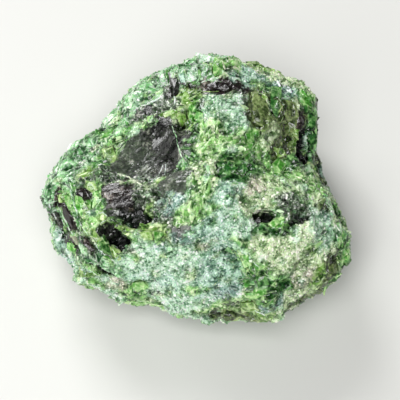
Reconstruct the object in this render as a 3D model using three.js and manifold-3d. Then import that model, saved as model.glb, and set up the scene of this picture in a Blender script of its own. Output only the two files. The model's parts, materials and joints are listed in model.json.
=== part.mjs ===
// A rough lump of chrome diopside, in millimetres, +Z up, resting on a small flat spot.
// The stone is one solid: a broken, worn body, blocky crystals grown into its skin and small open cavities.
import * as THREE from "three";
import { ConvexGeometry } from "three/addons/geometries/ConvexGeometry.js";
import { SimplexNoise } from "three/addons/math/SimplexNoise.js";
import { mergeVertices } from "three/addons/utils/BufferGeometryUtils.js";
import Module from "manifold-3d";

const wasm = await Module();
wasm.setup();

// Driving dimensions, mm and degrees
const HALF_WIDTH = 25.0;
const HALF_DEPTH = 23.5;
const HALF_HEIGHT = 14.6;
const FOOT_BELOW_CENTRE = 13.7;
const VIEW_ELEVATION = 60; // the rim is the stone's outline seen from this height above the horizon
const BLUNTNESS = 2.6; // 2 is an ellipsoid, and a higher number has fuller sides
const EDGE_SHARPNESS = 16; // the higher, the crisper the edges between fracture faces
const BODY_DETAIL = 15; // 20 * (detail + 1)^2 triangles before the crystals are grown in

// The outline from that view, [right, up] from the stone's centre
const RIM = [
  [2.2, 21.2], [-2.4, 19.8], [-5.9, 18.6], [-8.7, 17.0], [-11.1, 15.3],
  [-14.0, 11.9], [-18.9, 7.6], [-23.0, 2.7], [-24.5, 0.2], [-24.2, -2.4],
  [-22.6, -7.4], [-21.5, -10.4], [-20.1, -11.9], [-19.4, -13.6], [-17.7, -15.1],
  [-13.2, -17.0], [-11.4, -18.4], [-6.9, -18.7], [-1.7, -20.6], [1.1, -21.3],
  [8.1, -20.6], [10.2, -21.0], [12.7, -20.6], [15.1, -18.9], [21.2, -14.9],
  [24.2, -11.0], [24.3, -8.2], [22.7, -3.6], [20.4, 2.4], [19.6, 7.3],
  [19.6, 12.7], [18.0, 15.5], [12.9, 18.5], [8.1, 20.3],
];

// Fracture faces: compass angle from +X, height above the horizon, distance from the centre
const FRACTURES = [
  { face: "top, sloping left", turn: 168, rise: 66, reach: 13.4 },
  { face: "top, sloping right", turn: 30, rise: 66, reach: 13.8 },
  { face: "ribbed left front", turn: 208, rise: 36, reach: 20.4 },
  { face: "broad front", turn: 266, rise: 42, reach: 18.4 },
  { face: "front right shoulder", turn: 316, rise: 36, reach: 20.4 },
  { face: "right end", turn: 6, rise: 10, reach: 20.8 },
  { face: "left end", turn: 178, rise: 4, reach: 21.2 },
  { face: "front end", turn: 264, rise: 2, reach: 19.8 },
  { face: "back right", turn: 58, rise: 28, reach: 20.4 },
  { face: "back", turn: 98, rise: 8, reach: 19.8 },
  { face: "back left", turn: 140, rise: 32, reach: 19.6 },
  { face: "back, undercut", turn: 104, rise: -40, reach: 19.0 },
  { face: "right, undercut", turn: 352, rise: -38, reach: 20.2 },
  { face: "front, undercut", turn: 282, rise: -42, reach: 18.6 },
  { face: "left, undercut", turn: 200, rise: -36, reach: 20.0 },
  { face: "belly, left", turn: 170, rise: -66, reach: 15.2 },
  { face: "belly, right", turn: 345, rise: -64, reach: 15.4 },
  { face: "belly, front", turn: 262, rise: -64, reach: 15.0 },
  { face: "belly, back", turn: 78, rise: -62, reach: 15.0 },
];

// Broad swells and hollows on the side that is seen: [right, up], reach and rise
const SWELLS = [
  { form: "basin of dark crystals", at: [-9.0, 1.5], reach: 8.0, rise: -1.7 },
  { form: "hollow at the foot of the basin", at: [-12.2, -7.8], reach: 4.0, rise: -1.4 },
  { form: "pale dome", at: [5.4, 10.6], reach: 4.6, rise: 1.2 },
  { form: "top ridge", at: [-1.5, 18.4], reach: 4.6, rise: 0.9 },
  { form: "pitted cleft", at: [12.4, -3.4], reach: 3.8, rise: -1.7 },
  { form: "right mound", at: [17.0, -9.6], reach: 6.4, rise: 1.5 },
  { form: "ridge beside the basin", at: [0.4, -1.0], reach: 4.6, rise: 1.0 },
  { form: "dark cleft on the right", at: [17.6, 8.0], reach: 3.2, rise: -1.6 },
  { form: "upper right block", at: [13.4, 13.2], reach: 4.6, rise: 1.2 },
  { form: "lower lip", at: [9.5, -18.6], reach: 4.4, rise: 0.9 },
];
const SWELL_FADE = 0.35; // a swell fades out where the skin turns this far from the view, as a cosine

// Random unevenness of broken stone on every side: the span of its waves and their rise
const WAVES = [
  { span: 11, rise: 0.8 },
  { span: 5, rise: 0.45 },
];

// Crystals that stand out: [right, up], length, width, turn in the view, how proud, lean of the top face
const CRYSTALS = [
  { name: "large dark face", at: [-7.6, 6.4], length: 11.0, width: 8.4, turn: 35, proud: 0.5, lean: 6 },
  { name: "lower dark face", at: [-11.6, -0.9], length: 8.0, width: 4.4, turn: 5, proud: 0.6, lean: -5 },
  { name: "rib 1", at: [-22.0, -4.6], length: 9.0, width: 1.6, turn: -68, proud: 0.3, lean: 3 },
  { name: "rib 2", at: [-20.2, -4.8], length: 12.0, width: 1.5, turn: -65, proud: 0.6, lean: -4 },
  { name: "rib 3", at: [-18.3, -5.4], length: 13.5, width: 1.5, turn: -63, proud: 0.6, lean: 4 },
  { name: "rib 4", at: [-16.3, -5.4], length: 11.0, width: 1.8, turn: -61, proud: 0.8, lean: -5 },
  { name: "blade under ribs", at: [-13.6, -11.0], length: 7.0, width: 2.2, turn: -50, proud: 0.6, lean: 5 },
  { name: "column 1", at: [-5.8, 15.4], length: 4.6, width: 1.5, turn: 84, proud: 0.4, lean: 5 },
  { name: "column 2", at: [-3.8, 16.2], length: 5.0, width: 1.7, turn: 92, proud: 0.6, lean: -5 },
  { name: "column 3", at: [-1.6, 16.8], length: 5.0, width: 1.9, turn: 84, proud: 0.5, lean: 5 },
  { name: "column 4", at: [0.8, 17.2], length: 4.4, width: 1.8, turn: 78, proud: 0.5, lean: -4 },
  { name: "olive crystal", at: [10.7, 12.0], length: 6.6, width: 3.8, turn: 80, proud: 0.8, lean: 5 },
  { name: "shoulder crystal", at: [15.2, 11.0], length: 8.0, width: 3.2, turn: 100, proud: 0.7, lean: -6 },
  { name: "ridge crystal", at: [-1.2, 1.6], length: 5.4, width: 3.0, turn: 60, proud: 0.7, lean: 7 },
  { name: "bright crystal", at: [-12.6, 7.6], length: 5.0, width: 2.8, turn: 60, proud: 0.7, lean: -5 },
  { name: "slender blade", at: [-14.4, 0.2], length: 5.4, width: 1.7, turn: -72, proud: 0.9, lean: 4 },
  { name: "crystal by hollow", at: [-7.0, -6.2], length: 5.0, width: 2.6, turn: 12, proud: 0.8, lean: 4 },
  { name: "crystal on the saddle", at: [5.6, 5.8], length: 4.8, width: 3.2, turn: 30, proud: 0.6, lean: -5 },
];
const LONGEST = 5.0; // a crystal longer than this and slender is made of lengths that follow the skin
const OVERLAP = 1.25; // a length over its share of the crystal
const TAPER = 0.85; // a crystal's top over its root
const ROOT = 3.0; // how deep a crystal's root is sunk in the stone
const CORNER_LENGTH = [0.8, 1.0]; // a corner's place along the crystal, over half its length
const CORNER_WIDTH = [0.7, 1.0]; // a corner's place across it, over half its width
const POINTED_ENDS = 0.5; // the share of crystal ends that come to a blunt point
const POINT_LENGTH = 1.15; // such a point's place along the crystal, over half its length
const POINT_SIDE = 0.3; // how far it may stand off the middle, over the width

// Open cavities: [right, up], length, width, turn, depth
const CAVITIES = [
  { name: "black hollow", at: [-12.6, -7.6], length: 4.2, width: 2.4, turn: -35, depth: 2.2 },
  { name: "black slot", at: [-8.4, -5.0], length: 3.6, width: 1.8, turn: 5, depth: 1.6 },
  { name: "slot below the ribs", at: [-15.0, -14.2], length: 3.6, width: 1.2, turn: -36, depth: 1.4 },
  { name: "pit on the left edge", at: [-22.2, -6.6], length: 2.0, width: 1.3, turn: -60, depth: 1.4 },
  { name: "pit in the cleft, left", at: [9.9, -4.4], length: 3.0, width: 1.4, turn: 8, depth: 1.7 },
  { name: "pit in the cleft, right", at: [15.6, -3.4], length: 2.4, width: 1.5, turn: 25, depth: 1.8 },
  { name: "crack down the right", at: [17.9, 5.6], length: 4.6, width: 1.3, turn: 84, depth: 1.5 },
];
const CAVITY_FLARE = 1.5; // a cavity's mouth over its floor

// Grains of the skin, each broken along its own cleavage plane
const GRAINS = 260;
const GRAIN_LEAN = 0.32; // how far a plane may lean, as a slope
const GRAIN_STEP = 0.6; // how far a plane may stand above or below its neighbours
const GRAIN_LIMIT = 1.1; // the most that a grain may lift or sink the skin
const GRAIN_GRAZING = 0.35; // a plane that is nearer to edge-on than this counts as if it weren't

// Small crystals all round, hidden sides too, lying along the way that the stone grew
const SKIN_CRYSTALS = 40;
const SKIN_CRYSTAL_LENGTH = [3.0, 5.5];
const SKIN_CRYSTAL_WIDTH = [0.45, 0.75]; // over its length
const SKIN_CRYSTAL_PROUD = [0.05, 0.35];
const SKIN_CRYSTAL_LEAN = 9;
const GROWTH_SPAN = 16; // how far the growth holds its direction

const SEED = 7;
const RIM_STEPS = 180;
const RIM_AVERAGE = 3; // steps either way, so that the outline keeps its roughness
const RIM_SEARCH = 50; // the rim is looked for this far on either side of the view's plane
const RIM_SEARCH_STEP = 2.5;
const SCATTER = 2.4; // how far spread directions are moved, over the root of their count
const SMALL_ANGLE = 0.05;
const MERGED_WITHIN = 1e-4;
const FAR = 100;

const TURN = 2 * Math.PI;
const GOLDEN_ANGLE = Math.PI * (3 - Math.sqrt(5));
const toRadians = THREE.MathUtils.degToRad;
const random = THREE.MathUtils.seededRandom;
random(SEED);
const noise = new SimplexNoise({ random });

// A random number between two bounds
const between = (low, high) => low + (high - low) * random();

// A random vector in a cube of side 1
const randomVector = () => new THREE.Vector3(random() - 0.5, random() - 0.5, random() - 0.5);

// The view's own axes in the part's frame: right, up and towards the eye
const right = new THREE.Vector3(1, 0, 0);
const eye = direction(270, VIEW_ELEVATION);
const up = new THREE.Vector3().crossVectors(eye, right);
const viewToPart = new THREE.Matrix4().makeBasis(right, up, eye);
const partToView = viewToPart.clone().invert();

// A unit vector from a compass angle and a rise above the horizon
function direction(turn, rise) {
  const flat = Math.cos(toRadians(rise));
  return new THREE.Vector3(
    flat * Math.cos(toRadians(turn)),
    flat * Math.sin(toRadians(turn)),
    Math.sin(toRadians(rise)),
  );
}

const faces = FRACTURES.map(({ turn, rise, reach }) => ({ normal: direction(turn, rise), reach }));

// A point of the unworked lump: an ellipsoid broken off at the fracture faces, its edges worn
function lumpPoint(way) {
  const parts = [way.x / HALF_WIDTH, way.y / HALF_DEPTH, way.z / HALF_HEIGHT];
  const blunt = parts.reduce((sum, part) => sum + Math.abs(part) ** BLUNTNESS, 0) ** (1 / BLUNTNESS);
  const nearness = faces.map(({ normal, reach }) => Math.max(0, normal.dot(way)) / reach);
  const total = [blunt, ...nearness].reduce((sum, value) => sum + value ** EDGE_SHARPNESS, 0);
  return way.clone().multiplyScalar(total ** (-1 / EDGE_SHARPNESS));
}

// The rim's radius at each of RIM_STEPS angles
function rimRadii() {
  const corners = RIM.map(([x, y]) => new THREE.Vector3(x, y, 0));
  const curve = new THREE.CatmullRomCurve3(corners, true, "centripetal");
  const points = curve.getSpacedPoints(RIM_STEPS * 4);
  return Array.from({ length: RIM_STEPS }, (_, i) => {
    const ray = new THREE.Vector3(Math.cos((i / RIM_STEPS) * TURN), Math.sin((i / RIM_STEPS) * TURN), 0);
    const nearest = points.reduce((best, p) => (p.angleTo(ray) < best.angleTo(ray) ? p : best));
    return nearest.length();
  });
}

// A shape's own outline in the view, at the same angles
function outlineRadii(pointAlong) {
  return Array.from({ length: RIM_STEPS }, (_, i) => {
    const angle = (i / RIM_STEPS) * TURN;
    let most = 0;
    for (let rise = -RIM_SEARCH; rise <= RIM_SEARCH; rise += RIM_SEARCH_STEP) {
      const way = direction(THREE.MathUtils.radToDeg(angle), rise).applyMatrix4(viewToPart);
      const p = pointAlong(way).applyMatrix4(partToView);
      most = Math.max(most, Math.hypot(p.x, p.y));
    }
    return most;
  });
}

// The rim over a shape's outline at each angle, averaged over some steps either way
function stretchOf(pointAlong, either) {
  const outline = outlineRadii(pointAlong);
  return rim.map((_, i) => {
    let sum = 0;
    for (let step = -either; step <= either; step++) {
      const j = (i + step + RIM_STEPS) % RIM_STEPS;
      sum += rim[j] / outline[j];
    }
    return sum / (2 * either + 1);
  });
}

// A point moved in the view's plane, so that a shape's outline there becomes the rim
function stretched(point, stretch) {
  const p = point.clone().applyMatrix4(partToView);
  const place = THREE.MathUtils.euclideanModulo(Math.atan2(p.y, p.x) / TURN, 1) * RIM_STEPS;
  const before = Math.floor(place) % RIM_STEPS;
  const after = (before + 1) % RIM_STEPS;
  const scale = THREE.MathUtils.lerp(stretch[before], stretch[after], place % 1);
  return new THREE.Vector3(p.x * scale, p.y * scale, p.z).applyMatrix4(viewToPart);
}

// The named swells added up at a place of the view, fading out where the skin is turned away
function swellAt(x, y, facing) {
  const shown = THREE.MathUtils.smoothstep(facing, 0, SWELL_FADE);
  return SWELLS.reduce((sum, { at, reach, rise }) => {
    const away = Math.hypot(x - at[0], y - at[1]) / reach;
    return sum + shown * rise * Math.exp(-away * away);
  }, 0);
}

function unevenness(p) {
  const wave = ({ span, rise }) => rise * noise.noise3d(p.x / span, p.y / span, p.z / span);
  return WAVES.reduce((sum, shape) => sum + wave(shape), 0);
}

const rim = rimRadii();
const lumpStretch = stretchOf(lumpPoint, 0);

// A point of the smooth skin along a direction
function skinPoint(way) {
  const p = stretched(lumpPoint(way), lumpStretch);
  const seen = p.clone().applyMatrix4(partToView);
  return p.addScaledVector(way, swellAt(seen.x, seen.y, way.dot(eye)) + unevenness(p));
}

// The skin's normal along a direction, from two points beside it
function skinNormal(way) {
  const side = new THREE.Vector3(-way.y, way.x, SMALL_ANGLE).cross(way).normalize();
  const other = new THREE.Vector3().crossVectors(way, side);
  const beside = (step) => skinPoint(way.clone().addScaledVector(step, SMALL_ANGLE).normalize());
  const here = skinPoint(way);
  const normal = beside(side).sub(here).cross(beside(other).sub(here)).normalize();
  return normal.dot(way) < 0 ? normal.negate() : normal;
}

// Directions spread evenly all round, each moved a little
function spreadDirections(count) {
  return Array.from({ length: count }, (_, i) => {
    const z = 1 - (2 * (i + 0.5)) / count;
    const flat = Math.sqrt(1 - z * z);
    const even = new THREE.Vector3(flat * Math.cos(i * GOLDEN_ANGLE), flat * Math.sin(i * GOLDEN_ANGLE), z);
    return even.addScaledVector(randomVector(), SCATTER / Math.sqrt(count)).normalize();
  });
}

function grainPlanes() {
  return spreadDirections(GRAINS).map((way) => {
    const normal = skinNormal(way);
    const centre = skinPoint(way).addScaledVector(normal, GRAIN_STEP * (random() - 0.5));
    return { centre, normal: normal.addScaledVector(randomVector(), GRAIN_LEAN).normalize() };
  });
}

const grains = grainPlanes();

// The skin along a direction, moved onto the cleavage plane of the nearest grain
function brokenPoint(way) {
  const p = skinPoint(way);
  const gap = (grain) => grain.centre.distanceToSquared(p);
  const grain = grains.reduce((best, other) => (gap(other) < gap(best) ? other : best));
  const along = grain.centre.clone().sub(p).dot(grain.normal) / Math.max(GRAIN_GRAZING, way.dot(grain.normal));
  return p.addScaledVector(way, THREE.MathUtils.clamp(along, -GRAIN_LIMIT, GRAIN_LIMIT));
}

const brokenStretch = stretchOf(brokenPoint, RIM_AVERAGE);

// A point of the finished skin along a direction
const bodyPoint = (way) => stretched(brokenPoint(way), brokenStretch);

// A closed geometry's vertices merged by position alone
function merged(geometry) {
  const bare = geometry.clone();
  bare.deleteAttribute("normal");
  bare.deleteAttribute("uv");
  return mergeVertices(bare, MERGED_WITHIN);
}

function solidOf(geometry) {
  const { attributes, index } = merged(geometry);
  return new wasm.Manifold(
    new wasm.Mesh({
      numProp: 3,
      vertProperties: new Float32Array(attributes.position.array),
      triVerts: new Uint32Array(index.array),
    }),
  );
}

function geometryOf(solid) {
  const mesh = solid.getMesh();
  const geometry = new THREE.BufferGeometry();
  geometry.setAttribute("position", new THREE.BufferAttribute(new Float32Array(mesh.vertProperties), 3));
  geometry.setIndex(new THREE.BufferAttribute(new Uint32Array(mesh.triVerts), 1));
  return geometry;
}

function bodyGeometry() {
  const geometry = merged(new THREE.IcosahedronGeometry(1, BODY_DETAIL));
  const position = geometry.attributes.position;
  for (let i = 0; i < position.count; i++) {
    const p = bodyPoint(new THREE.Vector3().fromBufferAttribute(position, i).normalize());
    position.setXYZ(i, p.x, p.y, p.z);
  }
  return geometry;
}

const body = bodyGeometry();
const bodyMesh = new THREE.Mesh(body, new THREE.MeshBasicMaterial({ side: THREE.DoubleSide }));
const raycaster = new THREE.Raycaster();

// The spot of the skin that shows at a place of the view, with the skin's normal there
function spotInView([x, y]) {
  raycaster.set(new THREE.Vector3(x, y, FAR).applyMatrix4(viewToPart), eye.clone().negate());
  const { point } = raycaster.intersectObject(bodyMesh)[0];
  return { point, normal: skinNormal(point.clone().normalize()) };
}

// A blocky crystal, its long side along +X and its cleavage face up at the given height, rooted below
function crystalGeometry({ length, width, top, root, taper }) {
  const corners = [];
  for (const end of [-0.5, 0.5]) {
    for (const side of [-0.5, 0.5]) {
      corners.push([end * length * between(...CORNER_LENGTH), side * width * between(...CORNER_WIDTH)]);
    }
    if (random() < POINTED_ENDS) {
      corners.push([end * length * POINT_LENGTH, width * between(-POINT_SIDE / 2, POINT_SIDE / 2)]);
    }
  }
  const faceUp = corners.map(([x, y]) => new THREE.Vector3(x * taper, y * taper, top));
  const below = corners.map(([x, y]) => new THREE.Vector3(x, y, -root));
  return new ConvexGeometry([...faceUp, ...below]);
}

// Stands a geometry made round +Z on the skin: its X along a direction, its Z along the normal, leaned over
function placed(geometry, { point, normal }, along, lean) {
  const x = along.clone().projectOnPlane(normal).normalize();
  const y = new THREE.Vector3().crossVectors(normal, x);
  const tilt = new THREE.Matrix4().makeRotationX(toRadians(lean));
  return geometry.applyMatrix4(new THREE.Matrix4().makeBasis(x, y, normal).multiply(tilt).setPosition(point));
}

// A direction that runs at an angle in the view
function inView(turn) {
  return new THREE.Vector3(Math.cos(toRadians(turn)), Math.sin(toRadians(turn)), 0).applyMatrix4(viewToPart);
}

// A named crystal's solids: one block, or several end to end where it is long and slender
function namedCrystal({ at, length, width, turn, proud, lean }) {
  const count = length > 2 * width ? Math.ceil(length / LONGEST) : 1;
  return Array.from({ length: count }, (_, i) => {
    const along = ((i + 0.5) / count - 0.5) * length;
    const spot = [at[0] + along * Math.cos(toRadians(turn)), at[1] + along * Math.sin(toRadians(turn))];
    const share = count === 1 ? length : (OVERLAP * length) / count;
    const block = crystalGeometry({ length: share, width, top: proud, root: ROOT, taper: TAPER });
    return solidOf(placed(block, spotInView(spot), inView(turn), lean));
  });
}

function cavity({ at, length, width, turn, depth }) {
  const hollow = crystalGeometry({ length, width, top: ROOT, root: depth, taper: CAVITY_FLARE });
  return solidOf(placed(hollow, spotInView(at), inView(turn), 0));
}

// The way that the stone grew at a point: it changes slowly from place to place
function growth(p) {
  const along = (shift) => noise.noise3d(p.x / GROWTH_SPAN + shift, p.y / GROWTH_SPAN, p.z / GROWTH_SPAN);
  return new THREE.Vector3(along(0), along(FAR), along(2 * FAR));
}

// A small crystal lying in the skin along a direction
function skinCrystal(way) {
  const length = between(...SKIN_CRYSTAL_LENGTH);
  const width = length * between(...SKIN_CRYSTAL_WIDTH);
  const top = between(...SKIN_CRYSTAL_PROUD);
  const point = bodyPoint(way);
  const crystal = crystalGeometry({ length, width, top, root: ROOT, taper: TAPER });
  const lean = between(-SKIN_CRYSTAL_LEAN, SKIN_CRYSTAL_LEAN);
  return solidOf(placed(crystal, { point, normal: skinNormal(way) }, growth(point), lean));
}

// Everything above the flat spot that the stone rests on
function aboveFoot() {
  const box = new THREE.BoxGeometry(FAR, FAR, FAR);
  box.translate(0, 0, FAR / 2 - FOOT_BELOW_CENTRE);
  return solidOf(box);
}

// The largest body alone, because a cut can free a chip
function withoutChips(solid) {
  return solid.decompose().reduce((best, piece) => (piece.volume() > best.volume() ? piece : best));
}

function stoneGeometry() {
  let solid = solidOf(body);
  for (const way of spreadDirections(SKIN_CRYSTALS)) solid = solid.add(skinCrystal(way));
  for (const block of CRYSTALS.flatMap(namedCrystal)) solid = solid.add(block);
  for (const hollow of CAVITIES) solid = solid.subtract(cavity(hollow));
  const geometry = geometryOf(withoutChips(solid.intersect(aboveFoot())));
  geometry.computeBoundingBox();
  const { min, max } = geometry.boundingBox;
  geometry.translate(-(min.x + max.x) / 2, -(min.y + max.y) / 2, -min.z);
  geometry.computeVertexNormals();
  return geometry;
}

const group = new THREE.Group();
const stone = new THREE.Mesh(
  stoneGeometry(),
  new THREE.MeshStandardMaterial({ color: 0x5d9a4e, roughness: 0.45, metalness: 0 }),
);
stone.name = "diopside_stone";
group.add(stone);

export default group;
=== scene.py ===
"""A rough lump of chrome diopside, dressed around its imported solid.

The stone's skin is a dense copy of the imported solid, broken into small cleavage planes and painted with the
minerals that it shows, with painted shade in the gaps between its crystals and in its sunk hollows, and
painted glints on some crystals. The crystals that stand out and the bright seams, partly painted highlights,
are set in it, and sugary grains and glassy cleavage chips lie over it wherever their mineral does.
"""

import json
import logging
import math
from dataclasses import dataclass, field
from enum import Enum
from typing import ClassVar

import bmesh
import bpy
import numpy as np
from mathutils import Matrix, Vector, noise
from mathutils.bvhtree import BVHTree

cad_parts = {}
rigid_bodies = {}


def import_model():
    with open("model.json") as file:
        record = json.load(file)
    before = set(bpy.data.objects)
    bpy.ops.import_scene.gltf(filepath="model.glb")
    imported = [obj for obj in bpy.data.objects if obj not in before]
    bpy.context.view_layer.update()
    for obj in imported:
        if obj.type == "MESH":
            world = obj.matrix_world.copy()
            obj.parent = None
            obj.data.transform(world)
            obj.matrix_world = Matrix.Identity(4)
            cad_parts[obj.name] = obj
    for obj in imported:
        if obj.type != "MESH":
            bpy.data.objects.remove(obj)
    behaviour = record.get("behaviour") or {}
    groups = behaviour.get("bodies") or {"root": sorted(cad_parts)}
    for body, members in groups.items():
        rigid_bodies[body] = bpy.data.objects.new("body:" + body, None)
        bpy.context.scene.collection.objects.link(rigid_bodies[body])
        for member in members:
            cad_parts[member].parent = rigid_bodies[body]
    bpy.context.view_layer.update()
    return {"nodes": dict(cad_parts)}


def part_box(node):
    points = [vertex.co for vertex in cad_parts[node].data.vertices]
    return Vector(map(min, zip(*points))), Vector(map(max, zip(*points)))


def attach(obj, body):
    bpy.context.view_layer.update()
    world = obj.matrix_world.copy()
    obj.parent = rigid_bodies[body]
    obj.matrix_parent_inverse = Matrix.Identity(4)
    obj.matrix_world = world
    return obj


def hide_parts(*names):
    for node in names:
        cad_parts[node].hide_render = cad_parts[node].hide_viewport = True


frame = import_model()

log = logging.getLogger("chrome_diopside")
Colour = tuple[float, float, float, float]
Given = dict[str, bpy.types.NodeSocket]  # a node tree's sockets, by what they hold
MM = 0.001  # in metres
SEED = 16
TINY = 1e-9  # the least length that a vector is divided by
PATTERN_SHIFT = 99  # the most that a pattern is shifted from one patch to the next, in crystal lengths
TONES = ("shadow", "body", "light")
HABIT_LOOKS = ("lean", "pale", "mottle", "skew")  # what a finish reads of a habit


def linear(code: str) -> Colour:
    """Turns an sRGB hex colour to a shader's linear red, green and blue, with an alpha of 1."""
    parts = [int(code[i:i + 2], 16) / 255 for i in (1, 3, 5)]
    return (*[c / 12.92 if c <= 0.04045 else ((c + 0.055) / 1.055) ** 2.4 for c in parts], 1.0)


@dataclass(frozen=True)
class Habit:
    """How the crystals of a mineral grow and break."""

    cell: tuple[float, float]  # length and width of the crystals in the skin, mm
    step: float  # how far they stand above and below each other, mm
    lean: float  # how far their faces lean, as a slope
    groove: float  # depth of the gaps between them, mm
    pale: float  # how pale their edges are: broken edges, with a painted glow of light through them
    mottle: float  # share of their colour that changes within a crystal
    skew: float  # above 1 for few light grains
    grains: float  # share of the skin under sugary grains
    chips: float  # share under cleavage chips
    flatten: float  # the most that the skin moves to lie in a crystal's face, mm
    merge: float  # how far its colours run into those of the crystals round it
    guests: float = 0.0  # share of crystals that are of a mineral from elsewhere in the stone


# The numbers stand in the order of the fields above
SUGARY = Habit((1.2, 0.8), 0.24, 0.6, 0.2, 0.3, 0.65, 0.95, 0.36, 0.02, 0.25, 0.7, 0.18)
SPARKLING = Habit((0.8, 0.5), 0.24, 0.8, 0.15, 0.5, 0.6, 0.9, 0.3, 0.04, 0.3, 0.6, 0.35)
BLADED = Habit((2.9, 1.4), 0.34, 0.5, 0.26, 0.65, 0.26, 1.25, 0.07, 0.12, 0.5, 0.6, 0.14)
BLOCKY = Habit((3.0, 1.9), 0.32, 0.4, 0.32, 0.5, 0.28, 1.3, 0.04, 0.09, 0.6, 0.5, 0.1)
GLASSY = Habit((4.0, 3.2), 0.05, 0.08, 0.04, 0.05, 0.45, 2.4, 0.008, 0.006, 0.8, 0.1)
FLECKED = Habit((1.0, 0.7), 0.28, 0.6, 0.2, 0.3, 0.8, 1.3, 0.22, 0.05, 0.4, 0.4, 0.2)
VOID = Habit((1.6, 1.1), 0.3, 0.4, 0.1, 0.0, 0.8, 3.0, 0.0, 0.0, 0.4, 0.1)


@dataclass(frozen=True)
class Mineral:
    """One look that the stone's crystals take, from their shaded to their bright grains."""

    shadow: str
    body: str
    light: str
    habit: Habit
    sink: float = 0.0  # how far the skin lies below its surroundings, mm


class Kind(Enum):
    """The minerals that the stone shows, with painted shade for its hollows and painted glints."""

    SUGAR = Mineral("#4a7854", "#bde1c0", "#f0f9ee", SUGARY)
    GREY_SUGAR = Mineral("#3e6c54", "#aed3ba", "#e6f4e8", SUGARY)
    BLUE_GREY = Mineral("#18332a", "#70988a", "#dceae4", SUGARY)
    CREAM_SUGAR = Mineral("#587a44", "#cae0ae", "#f6fae4", SUGARY)
    PINK_SUGAR = Mineral("#4e5e40", "#bcbea2", "#f4eee0", SUGARY)
    MINT = Mineral("#14441c", "#80c27c", "#effee8", BLADED)
    BRIGHT_GREEN = Mineral("#0d380a", "#54a038", "#d4f4b0", BLADED)
    LIME = Mineral("#204e14", "#8fc76e", "#f0fed2", BLADED)
    YELLOW_GREEN = Mineral("#21470e", "#76a440", "#d2e8aa", BLADED)
    DEEP_GREEN = Mineral("#061f08", "#256622", "#9cd082", BLOCKY)
    OLIVE = Mineral("#131e09", "#4c6030", "#a8bc7c", BLOCKY)
    GREY_GLASS = Mineral("#2a3028", "#4e5848", "#94988a", GLASSY)
    DARK_GLASS = Mineral("#0d0f0c", "#363b32", "#959889", GLASSY)
    BROWN_GLASS = Mineral("#100c0a", "#302824", "#94897f", GLASSY)
    # Dark glass with white flecks, which are partly painted glints
    FLECKED_DARK = Mineral("#0b150a", "#3a5434", "#eaf2e0", FLECKED)
    # A sunk hollow, painted near black as the shade in it
    HOLLOW = Mineral("#030504", "#0a0e0b", "#28302a", VOID, 1.3)
    # Frosted white crystals, and painted glints where their faces catch the light
    FROST = Mineral("#5f9c68", "#b4d8b4", "#ffffff", SPARKLING)


@dataclass(frozen=True)
class Patch:
    """A patch of one mineral on the side that is seen, placed in the 400 by 400 px frame."""

    name: str
    at: tuple[float, float]
    size: tuple[float, float]  # half its length and half its width, px
    turn: float  # degrees that its length, and its crystals, turn from the right towards up
    kind: Kind


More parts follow.
